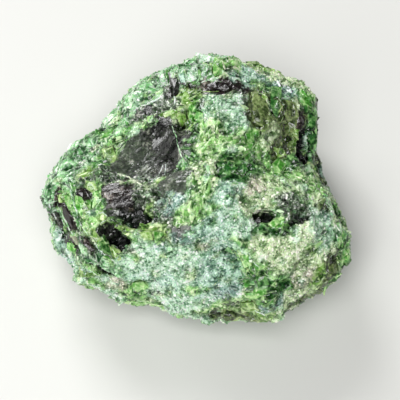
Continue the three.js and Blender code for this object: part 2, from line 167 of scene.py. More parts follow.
K = Kind
PATCHES = tuple(Patch(*row) for row in (
    ("rim, left end", (48, 188), (12, 8), 60, K.MINT),
    ("rim, lower left", (60, 168), (18, 8), 45, K.MINT),
    ("rim, left", (80, 146), (20, 9), 42, K.MINT),
    ("rim, dark crystals", (95, 134), (9, 5), 50, K.DEEP_GREEN),
    ("rim, upper left", (115, 118), (18, 9), 45, K.MINT),
    ("rim, pink grains", (92, 151), (7, 5), 30, K.PINK_SUGAR),
    ("rim, frosted", (122, 100), (12, 5), 45, K.FROST),
    ("rim, pale streak", (103, 126), (13, 3), 48, K.FROST),
    ("rim, top left", (142, 90), (18, 7), 25, K.MINT),
    ("green below the rim", (142, 98), (12, 4), 20, K.BRIGHT_GREEN),
    ("green edge of the rim", (70, 152), (10, 3), 42, K.DEEP_GREEN),
    ("rim, top", (178, 66), (18, 4), 20, K.MINT),
    ("white peak", (205, 58), (9, 4), 5, K.FROST),
    ("rim, right of the peak", (225, 60), (12, 5), -10, K.LIME),
    ("rim, yellow", (250, 65), (10, 5), -20, K.YELLOW_GREEN),
    # The columns: the white ones are painted glints, and the deep green and dark glass gaps between them
    # painted shade
    ("columns, left", (162, 80), (9, 5), 85, K.FROST),
    ("columns, middle", (177, 76), (9, 3), 80, K.FROST),
    ("brightest column", (190, 72), (6, 5), 85, K.FROST),
    ("columns, green", (199, 74), (9, 5), 80, K.DEEP_GREEN),
    ("columns, right", (209, 69), (9, 4), 75, K.FROST),
    ("columns, yellow", (215, 68), (8, 2), 75, K.YELLOW_GREEN),
    ("columns, far right", (224, 70), (9, 5), 65, K.BRIGHT_GREEN),
    ("gap between the columns", (175, 88), (10, 4), 85, K.DARK_GLASS),
    ("yellow below the columns", (188, 95), (10, 6), 10, K.YELLOW_GREEN),
    ("dark lens", (212, 86), (20, 4), 4, K.BROWN_GLASS),
    ("grey block at the top", (245, 77), (14, 9), 20, K.GREY_SUGAR),
    ("green at the top right", (256, 82), (6, 8), 60, K.BRIGHT_GREEN),
    ("white streak", (145, 103), (10, 2), 25, K.FROST),
    ("dark band", (162, 107), (17, 4), 8, K.FLECKED_DARK),
    ("dark band, left end", (148, 112), (7, 3), 25, K.DARK_GLASS),
    ("green under the band", (151, 120), (7, 4), 20, K.BRIGHT_GREEN),
    ("yellow under the band", (171, 113), (9, 4), 5, K.YELLOW_GREEN),
    ("green beside the slot", (184, 122), (6, 9), 75, K.YELLOW_GREEN),
    ("black slot", (177, 123), (9, 2), 75, K.HOLLOW),
    ("glint beside the dark face", (131, 134), (4, 3), 20, K.FROST),
    ("green left of the dark face", (122, 140), (9, 5), 50, K.BRIGHT_GREEN),
    ("dark face, top", (160, 126), (10, 8), 60, K.DARK_GLASS),
    ("dark face", (164, 145), (16, 18), 40, K.DARK_GLASS),
    ("dark face, left", (134, 158), (12, 9), 50, K.GREY_GLASS),
    ("dark face, hazy", (150, 163), (9, 7), 20, K.GREY_GLASS),
    ("bright crystal", (109, 152), (10, 6), 60, K.LIME),
    ("green above the bright crystal", (105, 136), (8, 5), 40, K.BRIGHT_GREEN),
    ("deep green spot", (97, 163), (6, 4), 30, K.DEEP_GREEN),
    ("green on the left", (84, 172), (8, 5), 60, K.YELLOW_GREEN),
    ("green crystal on the left", (91, 183), (7, 4), 60, K.BRIGHT_GREEN),
    ("flecks left of the faces", (103, 175), (9, 4), -20, K.FLECKED_DARK),
    ("pale ledge", (136, 181), (16, 2), -22, K.CREAM_SUGAR),
    ("flecks between the faces", (152, 180), (8, 4), -10, K.FLECKED_DARK),
    ("yellow spot", (159, 179), (3, 4), 80, K.YELLOW_GREEN),
    ("haze below the dark face", (175, 184), (9, 7), 30, K.GREY_GLASS),
    ("deep green triangle", (188, 153), (8, 4), -60, K.DEEP_GREEN),
    ("green below the triangle", (182, 168), (5, 6), 70, K.BRIGHT_GREEN),
    ("green beside the dome", (197, 113), (12, 7), 70, K.BRIGHT_GREEN),
    ("frosted beside the dome", (204, 108), (7, 2), 75, K.FROST),
    ("deep green in the saddle", (195, 140), (8, 5), -45, K.DEEP_GREEN),
    ("pale dome", (226, 105), (14, 13), 20, K.SUGAR),
    ("crack beside the dome", (246, 100), (11, 2), -65, K.FLECKED_DARK),
    ("green below the dome", (220, 128), (12, 7), 60, K.LIME),
    ("yellow below the dome", (232, 141), (13, 6), 30, K.LIME),
    ("olive crystal", (260, 104), (14, 7), 82, K.OLIVE),
    ("olive crystal's edge", (266, 97), (8, 2), -70, K.YELLOW_GREEN),
    ("green beside the olive crystal", (272, 92), (9, 4), -65, K.DEEP_GREEN),
    ("frosted beside the olive crystal", (273, 106), (6, 2), 80, K.FROST),
    ("olive block", (265, 122), (8, 7), 60, K.OLIVE),
    ("blue crystals", (286, 90), (12, 5), -20, K.BLUE_GREY),
    ("rim, upper right", (284, 80), (16, 5), -25, K.CREAM_SUGAR),
    ("rim, shoulder", (306, 98), (10, 5), -55, K.BRIGHT_GREEN),
    ("shoulder crystal", (291, 112), (14, 7), 100, K.OLIVE),
    ("cleft, upper", (302, 118), (12, 4), 85, K.BROWN_GLASS),
    ("cleft, lower", (304, 145), (16, 5), 88, K.HOLLOW),
    ("right edge, deep green", (313, 125), (24, 3), -85, K.DEEP_GREEN),
    ("black tip", (319, 161), (4, 3), 80, K.HOLLOW),
    ("green right of the dome", (252, 138), (9, 6), 70, K.BRIGHT_GREEN),
    ("grey green block", (268, 138), (9, 5), 40, K.CREAM_SUGAR),
    ("thin amber crystals", (296, 134), (8, 2), 80, K.YELLOW_GREEN),
    ("olive above the dome crystal", (281, 151), (8, 6), 40, K.OLIVE),
    ("pale streak", (263, 152), (9, 4), 75, K.LIME),
    ("green dome", (277, 167), (11, 6), 10, K.BRIGHT_GREEN),
    ("deep green with glints", (293, 163), (7, 6), 50, K.DEEP_GREEN),
    ("yellow green tip", (313, 167), (6, 4), 20, K.YELLOW_GREEN),
    ("deep green crystal", (231, 170), (14, 10), 20, K.DEEP_GREEN),
    ("cream left of the deep crystal", (211, 163), (8, 10), 80, K.CREAM_SUGAR),
    ("lime on the saddle", (205, 146), (9, 6), 40, K.LIME),
    ("lime below the saddle", (200, 184), (10, 12), 80, K.LIME),
    ("pink grains in the middle", (255, 187), (5, 8), 80, K.PINK_SUGAR),
    ("grey in the middle", (222, 190), (12, 8), 20, K.GREY_SUGAR),
    ("cream in the middle", (258, 204), (13, 7), 20, K.CREAM_SUGAR),
    ("speckled white", (285, 186), (13, 6), 10, K.CREAM_SUGAR),
    ("speckled dark", (294, 201), (10, 6), -15, K.FLECKED_DARK),
    ("pale lime on the right", (312, 184), (11, 12), 70, K.LIME),
    ("lime on the right", (305, 172), (6, 4), 40, K.LIME),
    ("cream on the right", (317, 197), (6, 5), 60, K.CREAM_SUGAR),
    ("deep green on the right", (323, 205), (4, 6), 80, K.OLIVE),
    ("dark green notch", (246, 202), (5, 3), -30, K.DEEP_GREEN),
    ("pits, left", (262, 218), (8, 2.4), 0, K.HOLLOW),
    ("flecks beside the pits", (278, 214), (9, 4), 10, K.FLECKED_DARK),
    ("pits, right", (300, 217), (5, 3), 35, K.HOLLOW),
    ("green in the cleft", (276, 222), (8, 4), 30, K.BRIGHT_GREEN),
    ("deep green in the cleft", (270, 231), (18, 5), 5, K.DEEP_GREEN),
    ("second dark face", (118, 193), (14, 9), 4, K.BROWN_GLASS),
    ("second dark face, flecked", (141, 196), (8, 8), 20, K.FLECKED_DARK),
    ("hollow under the second face", (128, 211), (8, 4), -10, K.HOLLOW),
    ("ledge under the second face", (114, 211), (7, 2), 5, K.GREY_GLASS),
    ("haze right of the second face", (172, 202), (10, 9), 30, K.BLUE_GREY),
    ("flecks right of the hollow", (160, 214), (9, 6), -30, K.FLECKED_DARK),
    ("lime, left of the middle", (186, 214), (9, 12), 60, K.LIME),
    ("bright green spot in the middle", (184, 222), (5, 6), 60, K.LIME),
    ("lime in the middle", (199, 204), (6, 13), 75, K.LIME),
    ("yellow green in the middle", (203, 200), (4, 7), 75, K.LIME),
    ("dark glass left of the blade", (82, 194), (6, 5), -60, K.DARK_GLASS),
    ("slender blade", (98, 199), (11, 3), -66, K.BRIGHT_GREEN),
    # A painted glint, laid as a small white spot of sugary grains
    ("white crystal", (93, 212), (2.5, 2), 0, K.SUGAR),
    ("small bright crystal", (102, 216), (4, 3), 70, K.YELLOW_GREEN),
    ("rib, green", (84, 210), (15, 4), -60, K.BRIGHT_GREEN),
    ("rib, end", (94, 232), (9, 6), -50, K.LIME),
    ("rib, dark", (70, 219), (26, 4), -60, K.BROWN_GLASS),
    ("rib, pale", (73, 206), (24, 1.8), -66, K.MINT),
    ("rib, outer dark", (56, 218), (14, 4), -66, K.DARK_GLASS),
    ("rib, outer pale", (50, 214), (14, 2), -68, K.SUGAR),
    ("rib, flecked", (80, 238), (16, 4), -52, K.FLECKED_DARK),
    ("pit on the left edge", (59, 232), (4, 3), -60, K.HOLLOW),
    ("small green on the left edge", (71, 246), (8, 3), -58, K.BRIGHT_GREEN),
    ("left edge below the pit", (62, 246), (10, 3), -62, K.GREY_SUGAR),
    ("olive below the ribs", (88, 246), (5, 3), -40, K.OLIVE),
    ("mint below the ribs", (84, 257), (9, 5), -30, K.MINT),
    ("lower left lobe", (82, 271), (11, 7), -30, K.SUGAR),
    ("lower left lobe, lime", (84, 266), (6, 3), -30, K.LIME),
    ("lower left lobe, green", (92, 281), (7, 3), -35, K.LIME),
    ("lower left edge", (98, 289), (13, 4), -25, K.SUGAR),
    ("slot below the ribs", (101, 273), (8, 2), -38, K.HOLLOW),
    ("blade below the ribs", (108, 247), (14, 4), -50, K.BRIGHT_GREEN),
    ("pale beside the blade", (102, 260), (12, 3), -50, K.MINT),
    ("green at the blade's foot", (118, 257), (5, 5), -40, K.LIME),
    ("black hollow", (120, 242), (12, 6), -28, K.HOLLOW),
    ("dark above the hollow", (112, 230), (6, 5), -30, K.DARK_GLASS),
    ("yellow crystal", (126, 228), (6, 4), 10, K.YELLOW_GREEN),
    ("black hollow, right", (143, 223), (9, 3), 5, K.HOLLOW),
    ("crystals below the hollow", (151, 234), (12, 4), 8, K.YELLOW_GREEN),
    ("grey face", (180, 228), (6, 4), 15, K.GREY_GLASS),
    ("dark blue grains", (174, 243), (10, 4), 0, K.BLUE_GREY),
    ("sugar, left", (140, 258), (20, 11), 10, K.SUGAR),
    ("sugar, middle", (178, 268), (24, 16), 10, K.SUGAR),
    ("sugar, grey", (158, 280), (16, 8), 0, K.GREY_SUGAR),
    ("sugar, cream spot", (190, 276), (9, 6), 20, K.CREAM_SUGAR),
    ("sugar, green spot", (195, 290), (7, 5), 10, K.LIME),
    ("sugar, dark grains", (160, 247), (9, 3), 10, K.BLUE_GREY),
    ("sugar, blue", (214, 266), (16, 13), 20, K.GREY_SUGAR),
    ("sugar, upper", (212, 228), (16, 10), 20, K.GREY_SUGAR),
    ("sugar, near the cleft", (238, 225), (9, 13), 70, K.SUGAR),
    ("pink grains in the sugar", (206, 243), (6, 4), 10, K.PINK_SUGAR),
    ("pink grains, lower left", (119, 285), (5, 3), 10, K.PINK_SUGAR),
    ("green in the sugar", (138, 290), (8, 6), 40, K.BRIGHT_GREEN),
    ("sugar, lower", (165, 292), (18, 9), -10, K.SUGAR),
    ("lower edge, left", (135, 304), (18, 5), -8, K.LIME),
    ("lower edge, middle", (182, 312), (14, 5), -25, K.SUGAR),
    ("sugar, low right", (205, 288), (12, 8), 10, K.GREY_SUGAR),
    ("dark blue below", (222, 293), (11, 4), 20, K.BLUE_GREY),
    ("green band, upper", (244, 254), (13, 5), -60, K.BRIGHT_GREEN),
    ("green band", (254, 270), (14, 7), -55, K.BRIGHT_GREEN),
    ("green band, lower", (266, 287), (16, 6), 15, K.BRIGHT_GREEN),
    ("deep green below the mound", (285, 281), (9, 5), 20, K.DEEP_GREEN),
    ("lip, mint", (212, 310), (11, 5), 15, K.LIME),
    ("lip, yellow green", (242, 307), (14, 4), 15, K.YELLOW_GREEN),
    ("lip, olive", (232, 315), (12, 3), 5, K.OLIVE),
    ("lip, end", (260, 315), (9, 3), 5, K.YELLOW_GREEN),
    ("lip, blue grey", (277, 309), (9, 4), 20, K.BLUE_GREY),
    ("lip, grey", (298, 298), (12, 5), 30, K.CREAM_SUGAR),
    ("mound, left", (268, 248), (12, 10), 30, K.CREAM_SUGAR),
    ("mound, middle", (295, 252), (20, 14), 20, K.CREAM_SUGAR),
    ("mound, top", (318, 234), (14, 9), 40, K.SUGAR),
    ("mound, green spots", (312, 251), (8, 4), 30, K.YELLOW_GREEN),
    ("mound, low spots", (299, 263), (6, 4), 30, K.OLIVE),
    ("mound, pink grains", (306, 281), (7, 6), 30, K.PINK_SUGAR),
    ("mound, grey", (326, 219), (6, 6), 60, K.GREY_SUGAR),
    ("right edge, upper", (335, 216), (10, 4), -60, K.MINT),
    ("right edge", (345, 240), (18, 4), -85, K.BRIGHT_GREEN),
    ("lower right", (332, 266), (9, 4), 50, K.OLIVE),
    ("lower right, green", (318, 278), (9, 4), 40, K.YELLOW_GREEN),
))


@dataclass(frozen=True)
class Seam:
    """A thin seam or broken edge, pale and partly a painted highlight, placed in the 400 by 400 px frame."""

    name: str
    along: tuple[tuple[float, float], ...]
    kind: Kind
    width: float = 0.24  # mm


SEAMS = tuple(Seam(*row) for row in (
    ("edge beside the columns", ((172, 80), (174, 93), (175, 107)), K.FROST, 0.34),
    ("column beside the gap", ((171, 69), (172, 80)), K.FROST, 0.4),
    ("last column", ((222, 62), (226, 71)), K.CREAM_SUGAR, 0.36),
    ("streak under the rim", ((138, 107), (150, 103), (165, 95)), K.FROST, 0.4),
    ("scratch on the dark face", ((158, 177), (161, 170), (163, 163)), K.FROST, 0.17),
    ("second scratch", ((164, 175), (166, 168), (165, 160)), K.SUGAR, 0.14),
    ("pale curved vein", ((119, 174), (128, 177), (138, 183), (147, 187)), K.CREAM_SUGAR, 0.36),
    ("right of the dark face", ((171, 124), (176, 136), (179, 150), (184, 162), (191, 178)), K.MINT, 0.24),
    ("olive crystal's light edge", ((262, 91), (266, 100), (269, 110)), K.CREAM_SUGAR, 0.3),
    ("olive crystal's left edge", ((252, 92), (250, 106), (253, 120)), K.YELLOW_GREEN, 0.26),
    ("olive crystal's foot", ((253, 128), (262, 131), (271, 128)), K.YELLOW_GREEN, 0.26),
    ("shoulder crystal, left", ((283, 106), (281, 116)), K.YELLOW_GREEN, 0.2),
    ("shoulder crystal, right", ((298, 104), (299, 112)), K.YELLOW_GREEN, 0.2),
    ("outer rib", ((48, 203), (54, 215), (61, 227), (66, 238)), K.SUGAR, 0.36),
    ("rib between", ((57, 204), (62, 214), (69, 228), (75, 240)), K.MINT, 0.3),
    ("middle rib", ((67, 179), (71, 192), (75, 207), (80, 224), (90, 238)), K.SUGAR, 0.26),
    ("inner rib", ((91, 238), (97, 247), (103, 256)), K.SUGAR, 0.3),
    ("blade, left edge", ((91, 190), (96, 201), (102, 210)), K.CREAM_SUGAR, 0.22),
    ("blade below the ribs, upper edge", ((97, 239), (110, 247), (124, 257)), K.YELLOW_GREEN, 0.26),
    ("blade below the ribs, lower edge", ((94, 245), (106, 256), (118, 264)), K.SUGAR, 0.26),
    ("small bright crystal's rim", ((99, 214), (103, 212), (107, 216), (104, 221), (99, 219)), K.FROST, 0.2),
    ("dark lens, upper edge", ((195, 84), (210, 80), (228, 83)), K.MINT, 0.24),
    ("dark lens, lower edge", ((198, 91), (212, 92), (229, 89)), K.YELLOW_GREEN, 0.24),
    ("dome's left edge", ((200, 104), (204, 113), (209, 122)), K.FROST, 0.26),
    ("deep crystal's edge", ((217, 163), (228, 160), (238, 163)), K.YELLOW_GREEN, 0.2),
    ("triangle's edge", ((180, 147), (187, 156), (193, 163)), K.YELLOW_GREEN, 0.24),
    ("bright crystal's edge", ((102, 160), (108, 149), (115, 147)), K.YELLOW_GREEN, 0.24),
    ("slot's lower edge", ((135, 229), (147, 230), (158, 227)), K.YELLOW_GREEN, 0.26),
    ("lip's edge", ((237, 303), (250, 308), (262, 314), (271, 319)), K.SUGAR, 0.28),
    ("belt's edge", ((237, 250), (243, 264), (254, 278)), K.YELLOW_GREEN, 0.24),
    ("edge over the pits", ((253, 211), (264, 212), (275, 214)), K.CREAM_SUGAR, 0.24),
    ("crystal in the cleft", ((268, 226), (273, 219), (278, 218)), K.YELLOW_GREEN, 0.26),
))


@dataclass(frozen=True)
class Crystal:
    """A crystal that stands out on its own, outlined in the 400 by 400 px frame."""

    name: str
    outline: tuple[tuple[float, float], ...]
    kind: Kind


CRYSTALS = tuple(Crystal(*row) for row in (
    ("blade", ((94, 188), (98, 191), (104, 207), (102, 209), (97, 204), (92, 195)), K.BRIGHT_GREEN),
    ("small bright", ((100, 214), (104, 213), (107, 217), (104, 221), (100, 220)), K.YELLOW_GREEN),
    ("rib glass, outer", ((50, 206), (55, 209), (62, 221), (67, 233), (61, 229), (54, 219)), K.DARK_GLASS),
    ("rib glass, inner", ((61, 204), (66, 205), (72, 217), (78, 230), (72, 229), (65, 217)), K.BROWN_GLASS),
    ("rib glass, lower", ((80, 233), (87, 238), (96, 251), (91, 252), (83, 244)), K.BROWN_GLASS),
    ("rib, upper", ((76, 196), (82, 199), (90, 213), (92, 222), (84, 219), (77, 208)), K.BRIGHT_GREEN),
    ("rib, lower", ((83, 224), (93, 228), (102, 240), (98, 243), (89, 235)), K.YELLOW_GREEN),
    ("rib, top", ((69, 182), (75, 184), (78, 194), (72, 192)), K.DEEP_GREEN),
    ("glass left of the blade", ((78, 187), (86, 189), (91, 199), (84, 200), (78, 194)), K.BROWN_GLASS),
    ("left of the ribs", ((57, 195), (63, 193), (65, 202), (59, 203)), K.YELLOW_GREEN),
    ("above the blade", ((85, 180), (95, 183), (98, 189), (92, 193), (85, 188)), K.YELLOW_GREEN),
    ("yellow", ((119, 223), (133, 225), (136, 231), (127, 234), (120, 230)), K.YELLOW_GREEN),
    ("below the slot", ((138, 232), (150, 231), (154, 241), (143, 237)), K.YELLOW_GREEN),
    ("right below the slot", ((151, 231), (163, 232), (162, 240), (155, 243)), K.BRIGHT_GREEN),
    ("long, dark part", ((98, 238), (108, 245), (112, 256), (104, 252), (99, 244)), K.DEEP_GREEN),
    ("long, bright part", ((109, 245), (121, 251), (124, 258), (116, 262), (112, 256)), K.YELLOW_GREEN),
    ("left edge", ((68, 242), (76, 245), (79, 255), (73, 253), (68, 248)), K.BRIGHT_GREEN),
    ("lobe", ((78, 267), (88, 266), (93, 273), (88, 278), (80, 277)), K.YELLOW_GREEN),
    ("in the sugar", ((132, 283), (143, 281), (148, 287), (142, 293), (133, 292)), K.BRIGHT_GREEN),
    ("ledge", ((105, 207), (120, 209), (119, 216), (107, 217)), K.GREY_GLASS),
    ("triangle", ((180, 148), (188, 149), (196, 155), (192, 161), (186, 158)), K.DEEP_GREEN),
    ("beside the slot", ((177, 111), (188, 110), (187, 120), (182, 128), (177, 120)), K.YELLOW_GREEN),
    ("left of the dome", ((196, 111), (203, 113), (202, 122), (195, 120)), K.BRIGHT_GREEN),
    ("under the band", ((147, 117), (153, 115), (154, 122), (148, 123)), K.BRIGHT_GREEN),
    ("band", ((153, 102), (162, 98), (172, 100), (173, 106), (162, 110), (152, 108)), K.FLECKED_DARK),
    # The columns: the white and pale ones and the peak are painted glints, and the dark column and the gaps
    # painted shade
    ("dark column", ((170, 76), (177, 77), (179, 91), (174, 97), (171, 88)), K.DARK_GLASS),
    ("first column", ((159, 75), (164, 73), (166, 84), (161, 87)), K.FROST),
    ("gap after the first column", ((165, 73), (168, 72), (170, 83), (167, 86)), K.DEEP_GREEN),
    ("grey column", ((179, 75), (184, 73), (186, 84), (181, 87)), K.GREY_SUGAR),
    ("white column", ((186, 70), (195, 67), (197, 79), (188, 83)), K.FROST),
    ("gap between the columns", ((197, 68), (201, 67), (202, 79), (199, 81)), K.DEEP_GREEN),
    ("pale column", ((202, 66), (205, 65), (206, 75), (203, 77)), K.FROST),
    ("deep column", ((206, 67), (210, 65), (212, 77), (207, 79)), K.DEEP_GREEN),
    ("bright column", ((212, 64), (219, 62), (222, 72), (214, 76)), K.BRIGHT_GREEN),
    ("peak", ((195, 59), (202, 56), (213, 57), (212, 62), (198, 63)), K.FROST),
    ("bright", ((103, 150), (113, 147), (117, 157), (110, 165), (103, 160)), K.YELLOW_GREEN),
    ("dark lens", ((207, 85), (215, 81), (228, 83), (233, 88), (228, 92), (217, 91), (208, 89)),
     K.BROWN_GLASS),
    ("olive", ((251, 92), (262, 90), (268, 102), (271, 113), (263, 127), (253, 123), (248, 108)), K.OLIVE),
    ("beside the olive", ((269, 90), (278, 92), (281, 108), (277, 118), (272, 108)), K.DEEP_GREEN),
    ("shoulder", ((282, 100), (295, 103), (300, 116), (296, 127), (290, 127), (284, 113)), K.OLIVE),
    ("below the dome", ((245, 133), (253, 132), (255, 142), (248, 143)), K.BRIGHT_GREEN),
    ("deep, left", ((215, 162), (223, 160), (232, 168), (230, 175), (221, 174)), K.DEEP_GREEN),
    ("deep, right", ((237, 165), (245, 163), (248, 170), (243, 175), (237, 172)), K.DEEP_GREEN),
    ("above the green dome", ((273, 147), (283, 148), (287, 155), (278, 158)), K.YELLOW_GREEN),
    ("green dome", ((270, 165), (278, 159), (286, 165), (280, 173), (272, 173)), K.BRIGHT_GREEN),
    ("wedge", ((268, 224), (276, 217), (281, 222), (274, 228)), K.BRIGHT_GREEN),
    ("belt, upper", ((240, 256), (248, 254), (252, 266), (244, 268)), K.BRIGHT_GREEN),
    ("belt, middle", ((254, 278), (266, 276), (270, 284), (258, 288)), K.DEEP_GREEN),
    ("belt, lower", ((278, 282), (290, 280), (294, 288), (282, 292)), K.DEEP_GREEN),
    ("lip, left", ((238, 304), (254, 302), (257, 310), (242, 313)), K.YELLOW_GREEN),
    ("middle, left", ((181, 209), (190, 207), (196, 214), (192, 224), (183, 222)), K.LIME),
))


@dataclass(frozen=True)
class View:
    """The camera's place and how the 400 by 400 px frame falls on the stone."""

    middle: Vector  # the middle of the stone, mm
    elevation: float = 60.0  # degrees
    distance: float = 340.0  # mm
    scale: float = 6.4  # px per mm at the middle
    middle_px: tuple[float, float] = (194.7, 183.8)
    frame_px: float = 400.0
    sensor: float = 36.0  # mm
    clip_start: float = 0.01  # m

    @property
    def right(self) -> Vector:
        """The direction to the right in the frame."""
        return Vector((1.0, 0.0, 0.0))

    @property
    def eye(self) -> Vector:
        """The direction from the stone to the camera."""
        rise = math.radians(self.elevation)
        return Vector((0.0, -math.cos(rise), math.sin(rise)))

    @property
    def up(self) -> Vector:
        """The direction up in the frame."""
        return self.eye.cross(self.right)

    @property
    def aim(self) -> Vector:
        """The point at the middle of the frame, mm."""
        x = (self.frame_px / 2 - self.middle_px[0]) / self.scale
        y = (self.middle_px[1] - self.frame_px / 2) / self.scale
        return self.middle + x * self.right + y * self.up

    @property
    def station(self) -> Vector:
        """Where the camera stands, mm."""
        return self.aim + self.distance * self.eye

    def ray(self, px: float, py: float) -> Vector:
        """The direction from the camera through a pixel.

        Args:
            px: columns from the left.
            py: rows from the top.

        Returns:
            A unit vector.
        """
        x = (px - self.frame_px / 2) / self.scale
        y = (self.frame_px / 2 - py) / self.scale
        return (self.aim + x * self.right + y * self.up - self.station).normalized()

    def pixels(self, points: np.ndarray) -> np.ndarray:
        """Where points fall in the frame.

        Args:
            points: places, mm, one a row.

        Returns:
            Columns from the left and rows from the top.
        """
        away = points - np.array(self.station)
        deep = -(away @ np.array(self.eye)) / self.distance
        side = [away @ np.array(axis) / deep * self.scale for axis in (self.right, self.up)]
        return np.stack([self.frame_px / 2 + side[0], self.frame_px / 2 - side[1]], axis=1)

    def add_camera(self) -> bpy.types.Object:
        """Adds the scene's camera.

        Returns:
            The camera.
        """
        data = bpy.data.cameras.new("camera")
        data.sensor_width = self.sensor
        data.lens = self.sensor * self.distance * self.scale / self.frame_px
        data.clip_start = self.clip_start
        camera = placed("camera", data)
        camera.location = self.station * MM
        camera.rotation_euler = (math.radians(90 - self.elevation), 0.0, 0.0)
        bpy.context.scene.camera = camera
        return camera


def placed(name: str, data: bpy.types.ID) -> bpy.types.Object:
    """Adds an object to the scene.

    Args:
        name: its name.
        data: its mesh, camera or light.

    Returns:
        The object.
    """
    item = bpy.data.objects.new(name, data)
    bpy.context.scene.collection.objects.link(item)
    return item


def corners_of(mesh: bpy.types.Mesh) -> tuple[np.ndarray, np.ndarray]:
    """A mesh's corners and their normals.

    Args:
        mesh: the mesh.

    Returns:
        Both, one a row.
    """
    points = np.zeros(len(mesh.vertices) * 3, np.float32)
    normals = np.zeros(len(mesh.vertices) * 3, np.float32)
    mesh.vertices.foreach_get("co", points)
    mesh.vertex_normals.foreach_get("vector", normals)
    return points.reshape(-1, 3), normals.reshape(-1, 3)


def surface_of(mesh: bpy.types.Mesh) -> BVHTree:
    """A mesh's faces, ready for rays and for the nearest place on them.

    Args:
        mesh: the mesh.

    Returns:
        The faces.
    """
    points, _ = corners_of(mesh)
    faces = [tuple(face.vertices) for face in mesh.polygons]
    return BVHTree.FromPolygons([tuple(p) for p in points.tolist()], faces)


def store(mesh: bpy.types.Mesh, name: str, values: np.ndarray) -> None:
    """Stores a value or a vector on each corner.

    Args:
        mesh: the mesh.
        name: the attribute's name.
        values: one value or vector a corner.
    """
    kind, key = ("FLOAT", "value") if values.ndim == 1 else ("FLOAT_VECTOR", "vector")
    layer = mesh.attributes.new(name, kind, "POINT")
    layer.data.foreach_set(key, np.ascontiguousarray(values, np.float32).ravel())


def stored(mesh: bpy.types.Mesh, name: str) -> np.ndarray:
    """Reads back what is stored on each corner.

    Args:
        mesh: the mesh.
        name: the attribute's name.

    Returns:
        One value or vector a corner.
    """
    layer = mesh.attributes[name]
    length, key = (3, "vector") if layer.data_type == "FLOAT_VECTOR" else (1, "value")
    values = np.zeros(len(mesh.vertices) * length, np.float32)
    layer.data.foreach_get(key, values)
    return values.reshape(-1, length) if length > 1 else values


def noise_vectors(points: np.ndarray, span: float) -> np.ndarray:
    """Smooth random vectors, about -1 to 1, that are unlike at a span apart; both in mm."""
    noise.seed_set(SEED)
    return np.array([noise.noise_vector(Vector(p) / span) for p in points], np.float32)


def unit(vectors: np.ndarray) -> np.ndarray:
    """Vectors, one a row, made one long."""
    return vectors / np.maximum(np.linalg.norm(vectors, axis=1, keepdims=True), TINY)


@dataclass(frozen=True)
class Laid:
    """A patch of one mineral laid on the skin."""

    centre: Vector
    axes: tuple[Vector, Vector, Vector]  # along, across and out
    size: tuple[float, float, float]  # how far it reaches along them, mm
    kind: Kind


